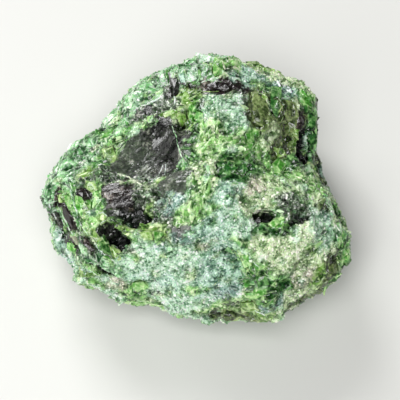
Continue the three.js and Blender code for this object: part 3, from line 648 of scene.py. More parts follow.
@dataclass
class MineralMap:
    """Which mineral lies where: the named patches, and seeded ones on the sides that are hidden."""

    view: View
    hidden_patches: int = 330
    tries: int = 3  # places drawn for each of them, because some lie on the seen side
    apart: float = 1.5  # a hidden patch lies at least this far from the named ones, mm
    hidden_size: tuple[float, float] = (0.9, 2.6)  # half length, mm
    hidden_slimness: tuple[float, float] = (0.4, 0.9)
    depth: float = 3.5  # how far a patch reaches into and out of the skin, mm
    ragged: float = 1.0  # how far a patch's edge wanders, mm
    ragged_span: float = 1.6
    fine_ragged: float = 0.5  # how far it wanders in small, over that
    fine_parts: float = 4.0  # small wanderings in the span of a large one
    seen_from: float = 0.0  # the seen side's normals lie this far towards the camera
    seen_ragged: float = 0.1  # how far that side's border wanders
    hidden_shares: ClassVar[dict[Kind, int]] = {
        K.SUGAR: 14, K.GREY_SUGAR: 12, K.CREAM_SUGAR: 9, K.PINK_SUGAR: 2, K.MINT: 14, K.BRIGHT_GREEN: 14,
        K.YELLOW_GREEN: 10, K.DEEP_GREEN: 10, K.OLIVE: 6, K.GREY_GLASS: 2, K.DARK_GLASS: 5,
        K.FLECKED_DARK: 4, K.BLUE_GREY: 3, K.HOLLOW: 1, K.FROST: 2,
    }
    named: int = field(init=False)  # how many of the patches are named ones, which come first
    kinds: list[Kind] = field(init=False)
    centres: np.ndarray = field(init=False)
    frames: np.ndarray = field(init=False)
    sizes: np.ndarray = field(init=False)

    def plan(self, points: np.ndarray, normals: np.ndarray, faces: np.ndarray) -> None:
        """Lays the patches on the skin.

        Args:
            points: the skin's corners, mm.
            normals: their normals.
            faces: the skin's triangles.
        """
        laid = self.seen(BVHTree.FromPolygons([tuple(p) for p in points.tolist()], faces.tolist()))
        self.named = len(laid)
        laid += self.hidden(points, normals, np.array([spot.centre for spot in laid]))
        self.kinds = [spot.kind for spot in laid]
        self.centres = np.array([spot.centre for spot in laid], np.float32)
        self.frames = np.array([spot.axes for spot in laid], np.float32)
        self.sizes = np.array([spot.size for spot in laid], np.float32)

    def seen(self, tree: BVHTree) -> list[Laid]:
        """Lays the named patches where the camera sees them.

        Args:
            tree: the skin.

        Returns:
            The patches.
        """
        laid = []
        for patch in PATCHES:
            hit, normal, _, _ = tree.ray_cast(self.view.station, self.view.ray(*patch.at))
            if hit is None:
                log.warning("patch %s misses the stone", patch.name)
                continue
            turn = math.radians(patch.turn)
            along = math.cos(turn) * self.view.right + math.sin(turn) * self.view.up
            size = (patch.size[0] / self.view.scale, patch.size[1] / self.view.scale, self.depth)
            laid.append(Laid(hit, self.axes(along, normal), size, patch.kind))
        return laid

    def hidden(self, points: np.ndarray, normals: np.ndarray, named: np.ndarray) -> list[Laid]:
        """Lays patches at random where the camera doesn't see the skin.

        Args:
            points: the skin's corners, mm.
            normals: their normals.
            named: the middles of the named patches.

        Returns:
            The patches.
        """
        rng = np.random.default_rng(SEED)
        shares = np.array(list(self.hidden_shares.values()), float)
        kinds = list(self.hidden_shares)
        laid = []
        for i in rng.choice(len(points), self.hidden_patches * self.tries, replace=False):
            seen = normals[i] @ np.array(self.view.eye) > self.seen_from
            if seen or np.linalg.norm(named - points[i], axis=1).min() < self.apart:
                continue
            length = rng.uniform(*self.hidden_size)
            axes = self.axes(Vector(rng.normal(size=3)), Vector(normals[i]))
            size = (length, length * rng.uniform(*self.hidden_slimness), self.depth)
            kind = kinds[rng.choice(len(kinds), p=shares / shares.sum())]
            laid.append(Laid(Vector(points[i]), axes, size, kind))
            if len(laid) == self.hidden_patches:
                break
        return laid

    @staticmethod
    def axes(along: Vector, normal: Vector) -> tuple[Vector, Vector, Vector]:
        """A patch's own axes: along, about where its length points, across, and out."""
        flat = (along - along.dot(normal) * normal).normalized()
        return flat, normal.cross(flat), normal

    def nearest(self, points: np.ndarray, normals: np.ndarray) -> np.ndarray:
        """The patch that each point lies in.

        Args:
            points: places on the skin, mm.
            normals: the skin's normals there.

        Returns:
            The patches' indices.
        """
        wander = self.ragged * noise_vectors(points, self.ragged_span)
        wander += self.fine_ragged * self.ragged * noise_vectors(points, self.ragged_span / self.fine_parts)
        hidden = normals @ np.array(self.view.eye) + self.seen_ragged * wander[:, 2] < self.seen_from
        best = np.full(len(points), np.inf, np.float32)
        chosen = np.zeros(len(points), int)
        for i, (centre, axes, size) in enumerate(zip(self.centres, self.frames, self.sizes)):
            distance = ((((points + wander - centre) @ axes.T) / size) ** 2).sum(axis=1)
            closer = distance < best
            if i >= self.named:
                closer &= hidden
            best[closer] = distance[closer]
            chosen[closer] = i
        return chosen


@dataclass
class Crystals:
    """The crystals that the skin is broken into, by corner of the skin."""

    own: np.ndarray  # the crystal that each corner lies in
    border: np.ndarray  # how far it lies from the next crystal, mm
    kinds: list[Kind]  # each crystal's mineral
    patches: np.ndarray  # each crystal's patch
    places: np.ndarray  # each corner's place in its patch, in crystal lengths and widths

    def each(self, name: str) -> np.ndarray:
        """A value of each crystal's habit, by name."""
        return np.array([getattr(kind.value.habit, name) for kind in self.kinds])

    def spread(self, name: str) -> np.ndarray:
        """A value of the habits at each corner, by name."""
        return self.each(name)[self.own]


@dataclass
class StoneSkin:
    """The stone's skin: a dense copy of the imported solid, broken into its crystals."""

    node: str = "diopside_stone"
    voxel: float = 0.294  # mm between corners, which keeps the skin under 200,000 triangles
    weld: float = 1e-3  # corners of the solid that are nearer than this are one, mm
    edge_width: float = 0.42  # how far a gap's slope reaches into a crystal, mm
    proud: float = 0.22  # the most that a crystal's face stands out of the solid, mm
    grazing: float = 0.4  # a face nearer to edge-on than this counts as if it weren't
    drift: float = 0.46  # how far the tone changes from place to place
    drift_span: float = 1.4  # mm
    open_span: float = 0.9  # how far an open gap goes on between crystals, mm
    open_change: float = 1.6  # the higher, the more suddenly a gap opens and closes
    open_share: float = 0.5  # of the gaps
    open_more: float = 1.6  # the depth of an open gap over its habit's
    open_depth: float = 0.4  # a gap that is fully in the shade, mm
    merge_rounds: int = 9
    bed: float = 0.75  # how far the skin lies back under the crystals that stand out, mm
    bed_facing: float = 0.1  # the skin there faces the camera at least this much
    strewn: float = 0.1  # how much of the cover lies over those crystals
    inset: float = 0.06  # the skin lies this far under the solid, so that the grains on it stay in its box
    guests: ClassVar[tuple[Kind, ...]] = (
        K.SUGAR, K.MINT, K.BRIGHT_GREEN, K.DEEP_GREEN, K.CREAM_SUGAR, K.FLECKED_DARK, K.YELLOW_GREEN,
    )

    def build(self, minerals: MineralMap) -> bpy.types.Object:
        """Makes the skin, in millimetres.

        Args:
            minerals: the map of minerals, which is laid on this skin.

        Returns:
            The skin as an object, with its tones, covers and growth as attributes.
        """
        piece = self.dense_copy()
        mesh = piece.data
        points, normals = corners_of(mesh)
        mesh.calc_loop_triangles()
        faces = np.zeros(len(mesh.loop_triangles) * 3, np.int32)
        mesh.loop_triangles.foreach_get("vertices", faces)
        minerals.plan(points, normals, faces.reshape(-1, 3))
        rng = np.random.default_rng(SEED + 1)
        crystals = self.grown(points, normals, minerals, rng)
        under = self.under_crystals(points, normals, minerals.view)
        self.move(mesh, crystals, under, rng)
        store(mesh, "growth", minerals.frames[crystals.patches[crystals.own], 0])
        store(mesh, "drift", self.drift * noise_vectors(points, self.drift_span)[:, 1])
        for name in ("grains", "chips"):
            cover = crystals.spread(name)
            store(mesh, name, np.where(under, cover * self.strewn, cover))
        self.paint(mesh, crystals)
        mesh.update()
        return piece

    def dense_copy(self) -> bpy.types.Object:
        """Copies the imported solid, in millimetres, with corners close enough together to break.

        Returns:
            The copy.
        """
        mesh = frame["nodes"][self.node].data.copy()
        mesh.materials.clear()
        mesh.transform(Matrix.Scale(1 / MM, 4))
        shape = bmesh.new()
        shape.from_mesh(mesh)
        bmesh.ops.remove_doubles(shape, verts=shape.verts, dist=self.weld)
        shape.to_mesh(mesh)
        shape.free()
        coarse = placed("coarse", mesh)
        remesh = coarse.modifiers.new("dense", "REMESH")
        remesh.mode = "VOXEL"
        remesh.voxel_size = self.voxel
        dense = bpy.data.meshes.new_from_object(coarse.evaluated_get(bpy.context.evaluated_depsgraph_get()))
        bpy.data.objects.remove(coarse)
        return placed("stone_skin", dense)

    def grown(self, points: np.ndarray, normals: np.ndarray, minerals: MineralMap,
              rng: np.random.Generator) -> Crystals:
        """Divides each patch of the skin into its crystals.

        Args:
            points: the skin's corners, mm.
            normals: their normals.
            minerals: the map of minerals.
            rng: the source of chance.

        Returns:
            The crystals.
        """
        patch = minerals.nearest(points, normals)
        own = np.zeros(len(points), int)
        border = np.zeros(len(points))
        places = np.zeros((len(points), 3))
        kinds, patches = [], []
        for i, kind in enumerate(minerals.kinds):
            inside = np.flatnonzero(patch == i)
            if not len(inside):
                continue
            habit = kind.value.habit
            cell = np.array([habit.cell[0], habit.cell[1], habit.cell[1]])
            local = ((points[inside] - minerals.centres[i]) @ minerals.frames[i].T) / cell
            places[inside] = local + rng.uniform(0, PATTERN_SHIFT, 3)
            order = rng.permutation(len(inside))
            _, first = np.unique(np.floor(local[order] + rng.random(3)), axis=0, return_index=True)
            middles = order[first]
            away = np.linalg.norm(local[:, None] - local[middles][None], axis=2)
            rank = np.sort(away, axis=1)
            own[inside] = away.argmin(axis=1) + len(kinds)
            alone = len(middles) == 1
            border[inside] = self.edge_width if alone else (rank[:, 1] - rank[:, 0]) / 2 * habit.cell[1]
            guest = rng.random(len(middles)) < habit.guests
            kinds.extend(self.guests[rng.integers(len(self.guests))] if g else kind for g in guest)
            patches.extend([i] * len(middles))
        return Crystals(own, border, kinds, np.array(patches), places)

    def under_crystals(self, points: np.ndarray, normals: np.ndarray, view: View) -> np.ndarray:
        """Finds the corners that lie under the crystals that stand out.

        Args:
            points: the skin's corners, mm.
            normals: their normals.
            view: how the frame falls on the stone.

        Returns:
            True for each corner that does.
        """
        px, py = view.pixels(points).T
        under = np.zeros(len(points), bool)
        for crystal in CRYSTALS:
            inside = np.zeros(len(points), bool)
            for (ax, ay), (bx, by) in zip(crystal.outline, crystal.outline[1:] + crystal.outline[:1]):
                if ay != by:
                    inside ^= ((py < ay) != (py < by)) & (px < ax + (bx - ax) * (py - ay) / (by - ay))
            under |= inside
        return under & (normals @ np.array(view.eye) > self.bed_facing)

    def move(self, mesh: bpy.types.Mesh, crystals: Crystals, under: np.ndarray,
             rng: np.random.Generator) -> None:
        """Breaks the skin into crystal faces with gaps between them, and stores the gaps for painted shade.

        Args:
            mesh: the skin.
            crystals: the crystals.
            under: the corners under the crystals that stand out.
            rng: the source of chance.
        """
        points, normals = corners_of(mesh)
        moved = self.broken(points, normals, crystals, rng)
        edge = np.clip(1 - crystals.border / self.edge_width, 0, 1)
        opened = noise_vectors(points, self.open_span)[:, 0]
        opened = np.clip(self.open_change * opened + self.open_share, 0, 1)
        groove = crystals.spread("groove") * opened * self.open_more
        sink = np.array([kind.value.sink for kind in crystals.kinds])[crystals.own]
        sink = self.softened(mesh, sink + self.bed * under)
        moved -= normals * (self.inset + groove * edge ** 2 + sink)[:, None]
        mesh.vertices.foreach_set("co", moved.astype(np.float32).ravel())
        # Painted shade: how deep each open gap is, which the finish paints darker
        store(mesh, "gap", np.clip(groove * edge / self.open_depth, 0, 1))

    def broken(self, points: np.ndarray, normals: np.ndarray, crystals: Crystals,
               rng: np.random.Generator) -> np.ndarray:
        """Moves each corner onto the face of the crystal that it lies in.

        Args:
            points: the corners, mm.
            normals: their normals.
            crystals: the crystals.
            rng: the source of chance.

        Returns:
            The moved corners.
        """
        own = crystals.own
        count = np.bincount(own)[:, None]
        lean, step, flatten = [crystals.each(name)[:, None] for name in ("lean", "step", "flatten")]
        level = np.stack([np.bincount(own, normals[:, axis]) for axis in range(3)], axis=1) / count
        faces = unit(unit(level) + rng.uniform(-0.5, 0.5, level.shape) * lean)
        middles = np.stack([np.bincount(own, points[:, axis]) for axis in range(3)], axis=1) / count
        middles += faces * rng.uniform(-0.5, 0.5, (len(count), 1)) * step
        gap = ((middles[own] - points) * faces[own]).sum(axis=1)
        facing = np.maximum((normals * faces[own]).sum(axis=1), self.grazing)
        most = flatten[own, 0]
        return points + normals * np.clip(gap / facing, -most, np.minimum(most, self.proud))[:, None]

    def paint(self, mesh: bpy.types.Mesh, crystals: Crystals) -> None:
        """Stores each crystal's colours, run into its neighbours', and what its finish reads.

        Args:
            mesh: the skin.
            crystals: the crystals.
        """
        store(mesh, "place", crystals.places)
        for name in HABIT_LOOKS:
            store(mesh, name, crystals.spread(name))
        merge = crystals.spread("merge")[:, None]
        for tone in TONES:
            colours = np.array([linear(getattr(kind.value, tone))[:3] for kind in crystals.kinds])
            colours = colours[crystals.own]
            mixed = np.stack([self.softened(mesh, band, self.merge_rounds) for band in colours.T], axis=1)
            store(mesh, tone, colours + merge * (mixed - colours))

    @staticmethod
    def softened(mesh: bpy.types.Mesh, values: np.ndarray, rounds: int = 3) -> np.ndarray:
        """Averages a value over neighbouring corners, so that it changes on a slope.

        Args:
            mesh: the mesh.
            values: one value a corner.
            rounds: how often, each time a corner farther.

        Returns:
            The averaged values.
        """
        ends = np.zeros(len(mesh.edges) * 2, np.int32)
        mesh.edges.foreach_get("vertices", ends)
        ends = ends.reshape(-1, 2)
        degree = np.bincount(ends.ravel(), minlength=len(values))
        for _ in range(rounds):
            total = np.bincount(ends[:, 0], values[ends[:, 1]], len(values))
            total += np.bincount(ends[:, 1], values[ends[:, 0]], len(values))
            values = 0.5 * values + 0.5 * total / degree
        return values


def add(tree: bpy.types.NodeTree, kind: str, settings: dict | None = None,
        **inputs: object) -> bpy.types.Node:
    """Adds a node with its settings and links.

    Args:
        tree: the node tree.
        kind: the node's type.
        settings: its own properties.
        **inputs: values or sockets for its inputs, by name with _ for a space, or by number as n0, n1.

    Returns:
        The node.
    """
    node = tree.nodes.new(kind)
    for name, value in (settings or {}).items():
        setattr(node, name, value)
    for name, value in inputs.items():
        key = int(name[1:]) if name[0] == "n" and name[1:].isdigit() else name.replace("_", " ")
        if isinstance(value, bpy.types.NodeSocket):
            tree.links.new(value, node.inputs[key])
        else:
            node.inputs[key].default_value = value
    return node


@dataclass(frozen=True)
class DiopsideFinish:
    """Chrome diopside as it breaks: grains of one mineral in many tones, with a glassy to sugary lustre."""

    name: str
    roughness: tuple[float, float]  # of a face's glossy and dull places
    uneven: float  # the span of the unevenness on a face, mm
    bump: float  # how strongly the unevenness shows in the light, up to 1
    clouded: float = 0.4  # how far the tone changes within a crystal
    rimmed: bool = False  # whether it marks crystals' edges, paler as broken edges and with a painted glow
    detail: float = 3.0  # of the unevenness
    swell: float = 0.5  # how high the unevenness stands, over its span
    dull_between: tuple[float, float] = (0.3, 0.7)  # the unevenness at which a face is glossy and dull
    rim_between: tuple[float, float] = (0.35, 0.6)  # the unevenness at which a pale edge sets in, and is full
    ior: float = 1.68  # diopside's own index of refraction
    glow: float = 0.3  # share of the light that comes back from within the crystals
    glow_reach: tuple[float, float, float] = (0.35, 0.8, 0.25)  # mm, farthest for green
    reads: ClassVar[tuple[str, ...]] = ("tone", "drift", "skew")  # values that the piece's corners hold
    reads_vectors: ClassVar[tuple[str, ...]] = ("shadow", "body", "light")

    def tone(self, tree: bpy.types.NodeTree, given: Given) -> bpy.types.NodeSocket:
        """How light a crystal is, from 0 to 1."""
        return given["tone"]

    def rim(self, tree: bpy.types.NodeTree, given: Given) -> bpy.types.NodeSocket:
        """How near a spot is to a crystal's edge, from 0 to 1."""
        return given["rim"]

    def normal(self, tree: bpy.types.NodeTree, given: Given) -> bpy.types.NodeSocket | None:
        """The normal that turns each crystal's face, or none if it is the mesh's own."""
        return None

    def read(self, tree: bpy.types.NodeTree) -> Given:
        """Adds the nodes that read the piece's attributes.

        Args:
            tree: the material's tree.

        Returns:
            What each holds, by its name.
        """
        names = self.reads + (("rim", "pale") if self.rimmed else ())
        outputs = dict.fromkeys(names, "Fac") | dict.fromkeys(self.reads_vectors, "Vector")
        return {name: add(tree, "ShaderNodeAttribute", {"attribute_name": name}).outputs[output]
                for name, output in outputs.items()}

    def colour(self, tree: bpy.types.NodeTree, given: Given,
               uneven: bpy.types.NodeSocket) -> bpy.types.NodeSocket:
        """Adds the nodes that mix the mineral's three tones, and pale edges with a painted glow over them.

        Args:
            tree: the material's tree.
            given: the piece's attributes.
            uneven: the unevenness of a face.

        Returns:
            The colour.
        """
        cloud = add(tree, "ShaderNodeMath", {"operation": "MULTIPLY_ADD"},
                    n0=uneven, n1=self.clouded, n2=-self.clouded / 2).outputs[0]
        tone = self.tone(tree, given)
        for operation, other in (("ADD", given["drift"]), ("POWER", given["skew"]), ("ADD", cloud)):
            settings = {"operation": operation, "use_clamp": operation == "ADD"}
            tone = add(tree, "ShaderNodeMath", settings, n0=tone, n1=other).outputs[0]
        lower = add(tree, "ShaderNodeMapRange", n0=tone, n1=0.0, n2=0.5).outputs[0]
        upper = add(tree, "ShaderNodeMapRange", n0=tone, n1=0.5, n2=1.0).outputs[0]
        layers = [(lower, given["body"]), (upper, given["light"])]
        # Pale edges: broken edges, and a painted glow of light coming through them
        if self.rimmed:
            share = add(tree, "ShaderNodeMapRange",
                        n0=uneven, n1=self.rim_between[0], n2=self.rim_between[1]).outputs[0]
            for other in (self.rim(tree, given), given["pale"]):
                share = add(tree, "ShaderNodeMath", {"operation": "MULTIPLY"}, n0=share, n1=other).outputs[0]
            layers.append((share, given["light"]))
        colour = given["shadow"]
        for share, over in layers:
            colour = add(tree, "ShaderNodeMix", {"data_type": "RGBA"},
                         n0=share, n6=colour, n7=over).outputs[2]
        return colour

    def build(self) -> bpy.types.Material:
        """Makes the material.

        Returns:
            The material, which reads the tones from the piece's attributes.
        """
        material = bpy.data.materials.new(self.name)
        material.use_nodes = True
        tree = material.node_tree
        shader = tree.nodes["Principled BSDF"]
        given = self.read(tree)
        place = add(tree, "ShaderNodeTexCoord").outputs["Object"]
        uneven = add(tree, "ShaderNodeTexNoise",
                     Vector=place, Scale=1 / (self.uneven * MM), Detail=self.detail).outputs["Fac"]
        dull = add(tree, "ShaderNodeMapRange", n0=uneven, n1=self.dull_between[0], n2=self.dull_between[1],
                   n3=self.roughness[0], n4=self.roughness[1]).outputs[0]
        bump = add(tree, "ShaderNodeBump",
                   Height=uneven, Strength=self.bump, Distance=self.uneven * MM * self.swell)
        normal = self.normal(tree, given)
        if normal:
            tree.links.new(normal, bump.inputs["Normal"])
        tree.links.new(self.colour(tree, given, uneven), shader.inputs["Base Color"])
        tree.links.new(dull, shader.inputs["Roughness"])
        tree.links.new(bump.outputs["Normal"], shader.inputs["Normal"])
        shader.inputs["IOR"].default_value = self.ior
        shader.inputs["Subsurface Weight"].default_value = self.glow
        shader.inputs["Subsurface Radius"].default_value = self.glow_reach
        shader.inputs["Subsurface Scale"].default_value = MM
        return material


@dataclass(frozen=True)
class BrokenFinish(DiopsideFinish):
    """Chrome diopside in the skin, whose crystals are smaller than the mesh can draw sharply."""

    rimmed: bool = True
    speckle: float = 0.26  # mm; the grains in a crystal are finer, and are drawn this wide to show
    size: float = 0.75  # a crystal's size in the skin's own crystal lengths and widths
    edge_width: float = 0.13  # over a crystal's width
    depth: float = 0.92  # below 1 because the skin lies in the shade of the crystals on it
    shade: float = 0.42  # how much darker the gaps between the crystals are painted, as shade
    reads: ClassVar[tuple[str, ...]] = ("drift", "skew", "mottle", "gap", "lean")
    reads_vectors: ClassVar[tuple[str, ...]] = ("shadow", "body", "light", "place")

    def read(self, tree: bpy.types.NodeTree) -> Given:
        """Adds the nodes that read the piece's attributes, and those that draw its crystals.

        Args:
            tree: the material's tree.

        Returns:
            What each holds, with each crystal's own chance and how far a spot lies from its edge.
        """
        given = super().read(tree)
        crystals, edges = [add(tree, "ShaderNodeTexVoronoi", {"feature": feature},
                               Vector=given["place"], Scale=1 / self.size)
                           for feature in ("F1", "DISTANCE_TO_EDGE")]
        return given | {"chance": crystals.outputs["Color"], "edge": edges.outputs["Distance"]}

    def tone(self, tree: bpy.types.NodeTree, given: Given) -> bpy.types.NodeSocket:
        """Adds the nodes that mix a crystal's own tone with its grains', with painted shade in the gaps.

        Args:
            tree: the material's tree.
            given: the piece's attributes.

        Returns:
            The tone.
        """
        place = add(tree, "ShaderNodeTexCoord").outputs["Object"]
        grains = add(tree, "ShaderNodeTexVoronoi", Vector=place, Scale=1 / (self.speckle * MM))
        crystal, grain = [add(tree, "ShaderNodeSeparateColor", n0=colour).outputs[0]
                          for colour in (given["chance"], grains.outputs["Color"])]
        mixed = add(tree, "ShaderNodeMix", {"data_type": "FLOAT"}, n0=given["mottle"], n2=crystal, n3=grain)
        # Painted shade in the gaps between the crystals
        shade = add(tree, "ShaderNodeMath", {"operation": "MULTIPLY"}, n0=given["gap"], n1=-self.shade)
        return add(tree, "ShaderNodeMath", {"operation": "MULTIPLY_ADD"},
                   n0=mixed.outputs[0], n1=self.depth, n2=shade.outputs[0]).outputs[0]

    def rim(self, tree: bpy.types.NodeTree, given: Given) -> bpy.types.NodeSocket:
        """Adds the nodes that find the drawn crystals' edges, beside those that the piece marks.

        Args:
            tree: the material's tree.
            given: the piece's attributes.

        Returns:
            How near a spot is to an edge, from 0 to 1.
        """
        inner = add(tree, "ShaderNodeMapRange",
                    n0=given["edge"], n1=0.0, n2=self.edge_width, n3=1.0, n4=0.0).outputs[0]
        return add(tree, "ShaderNodeMath", {"operation": "MAXIMUM"}, n0=inner, n1=given["rim"]).outputs[0]

    def normal(self, tree: bpy.types.NodeTree, given: Given) -> bpy.types.NodeSocket:
        """Adds the nodes that lean each drawn crystal's face its own way.

        Args:
            tree: the material's tree.
            given: the piece's attributes.

        Returns:
            The normal.
        """
        chance = add(tree, "ShaderNodeVectorMath", {"operation": "SUBTRACT"},
                     n0=given["chance"], n1=(0.5, 0.5, 0.5)).outputs[0]
        lean = add(tree, "ShaderNodeVectorMath", {"operation": "SCALE"}, n0=chance, Scale=given["lean"])
        own = add(tree, "ShaderNodeNewGeometry").outputs["Normal"]
        turned = add(tree, "ShaderNodeVectorMath", {"operation": "ADD"}, n0=own, n1=lean.outputs[0])
        return add(tree, "ShaderNodeVectorMath", {"operation": "NORMALIZE"}, n0=turned.outputs[0]).outputs[0]


# Sugary diopside: fine grains that scatter light on every face, pale and only half glossy
SUGARY_FINISH = DiopsideFinish("sugary_diopside", roughness=(0.25, 0.55), uneven=0.25, bump=0.3)
# Cleaved diopside: glassy plates, dark and clear within, pale along their broken edges with a painted glow
CLEAVED_FINISH = DiopsideFinish("cleaved_diopside", roughness=(0.06, 0.28), uneven=0.5, bump=0.3,
                                clouded=0.8, rimmed=True)
# Broken diopside: the crystals in the skin, duller, and with painted shade where they lie between the others
BROKEN_FINISH = BrokenFinish("broken_diopside", roughness=(0.08, 0.34), uneven=0.55, bump=0.3, clouded=0.7)


def walls(rings: list[list[int]]) -> list[list[int]]:
    """The four-sided faces between rings of corners.

    Args:
        rings: each ring's corners by number, the lowest ring first.

    Returns:
        The faces.
    """
    faces = []
    for low, high in zip(rings, rings[1:]):
        n = len(low)
        faces += [[low[j], low[(j + 1) % n], high[(j + 1) % n], high[j]] for j in range(n)]
    return faces


@dataclass
class Draft:
    """A mesh that is gathered part by part, with the values that its corners hold."""

    corners: list[tuple[float, float, float]] = field(default_factory=list)
    faces: list[list[int]] = field(default_factory=list)
    values: dict[str, list] = field(default_factory=dict)

    def hold(self, name: str, values: list) -> None:
        """Adds the values that the newest corners hold, by attribute."""
        self.values.setdefault(name, []).extend(values)

    def tint(self, mineral: Mineral, count: int) -> None:
        """Adds a mineral's tones for the newest corners, as many as the count says."""
        for tone in TONES:
            self.hold(tone, [linear(getattr(mineral, tone))[:3]] * count)

    def finished(self, name: str) -> bpy.types.Object:
        """Makes the mesh and adds it to the scene.

        Args:
            name: the piece's name.

        Returns:
            The piece.
        """
        mesh = bpy.data.meshes.new(name)
        mesh.from_pydata(self.corners, [], self.faces)
        for label, values in self.values.items():
            store(mesh, label, np.array(values))
        return placed(name, mesh)


@dataclass(frozen=True)
class CrystalKit:
    """A few crystals of one habit, each of 10 or 12 faces, that a scatter picks from."""

    name: str
    corners: int  # of its outline, 4 or 5
    variants: int  # how many crystals are unlike
    height: float  # above the skin, over its width
    root: float  # below the skin, over its width
    inner: float  # the flat top over the outline
    bevel: float  # how far the top's border is dropped, over the height
    uneven: float = 0.16  # how far a corner strays, over the width
    cut: tuple[float, float] = (0.25, 0.6)  # how much of two sides a fifth corner cuts off
    foot: float = 0.8  # the buried end over the outline
    slope: float = 0.5  # the most that the top slopes, over the height
    edges: tuple[float, float, float] = (0.6, 1.0, 0.0)  # how near to an edge the foot, outline and top are

    def outline(self, rng: np.random.Generator) -> np.ndarray:
        """Draws one crystal's outline, about one across and squarish.

        Args:
            rng: the source of chance.

        Returns:
            Its corners in order.
        """
        square = np.array([(-0.5, -0.5), (0.5, -0.5), (0.5, 0.5), (-0.5, 0.5)])
        if self.corners == 5:
            cut = rng.uniform(*self.cut)
            square = np.concatenate([square[:2], [(0.5, 0.5 - cut), (0.5 - cut, 0.5)], square[3:]])
        return square[:self.corners] + rng.uniform(-self.uneven, self.uneven, (self.corners, 2))

    def build(self) -> bpy.types.Collection:
        """Makes the crystals.

        Returns:
            A collection that isn't shown.
        """
        rng = np.random.default_rng(SEED + len(self.name))
        kit = bpy.data.collections.new(self.name)
        n = self.corners
        rings = [list(range(k * n, (k + 1) * n)) for k in range(3)]
        border = self.height * (1 - self.bevel)
        for i in range(self.variants):
            mesh = bpy.data.meshes.new(f"{self.name}_{i}")
            outline = self.outline(rng)
            slope = rng.uniform(-self.slope, self.slope, 2) * self.height
            layers = []
            for share, level in ((self.foot, -self.root), (1.0, border), (self.inner, self.height)):
                flat = outline * share
                tilt = flat @ slope if level > 0 else 0.0
                layers.append(np.column_stack([flat, np.full(n, level) + tilt]))
            faces = walls(rings) + [rings[2], rings[0][::-1]]
            mesh.from_pydata(np.concatenate(layers).tolist(), [], faces)
            store(mesh, "rim", np.repeat(self.edges, n))
            kit.objects.link(bpy.data.objects.new(mesh.name, mesh))
        return kit


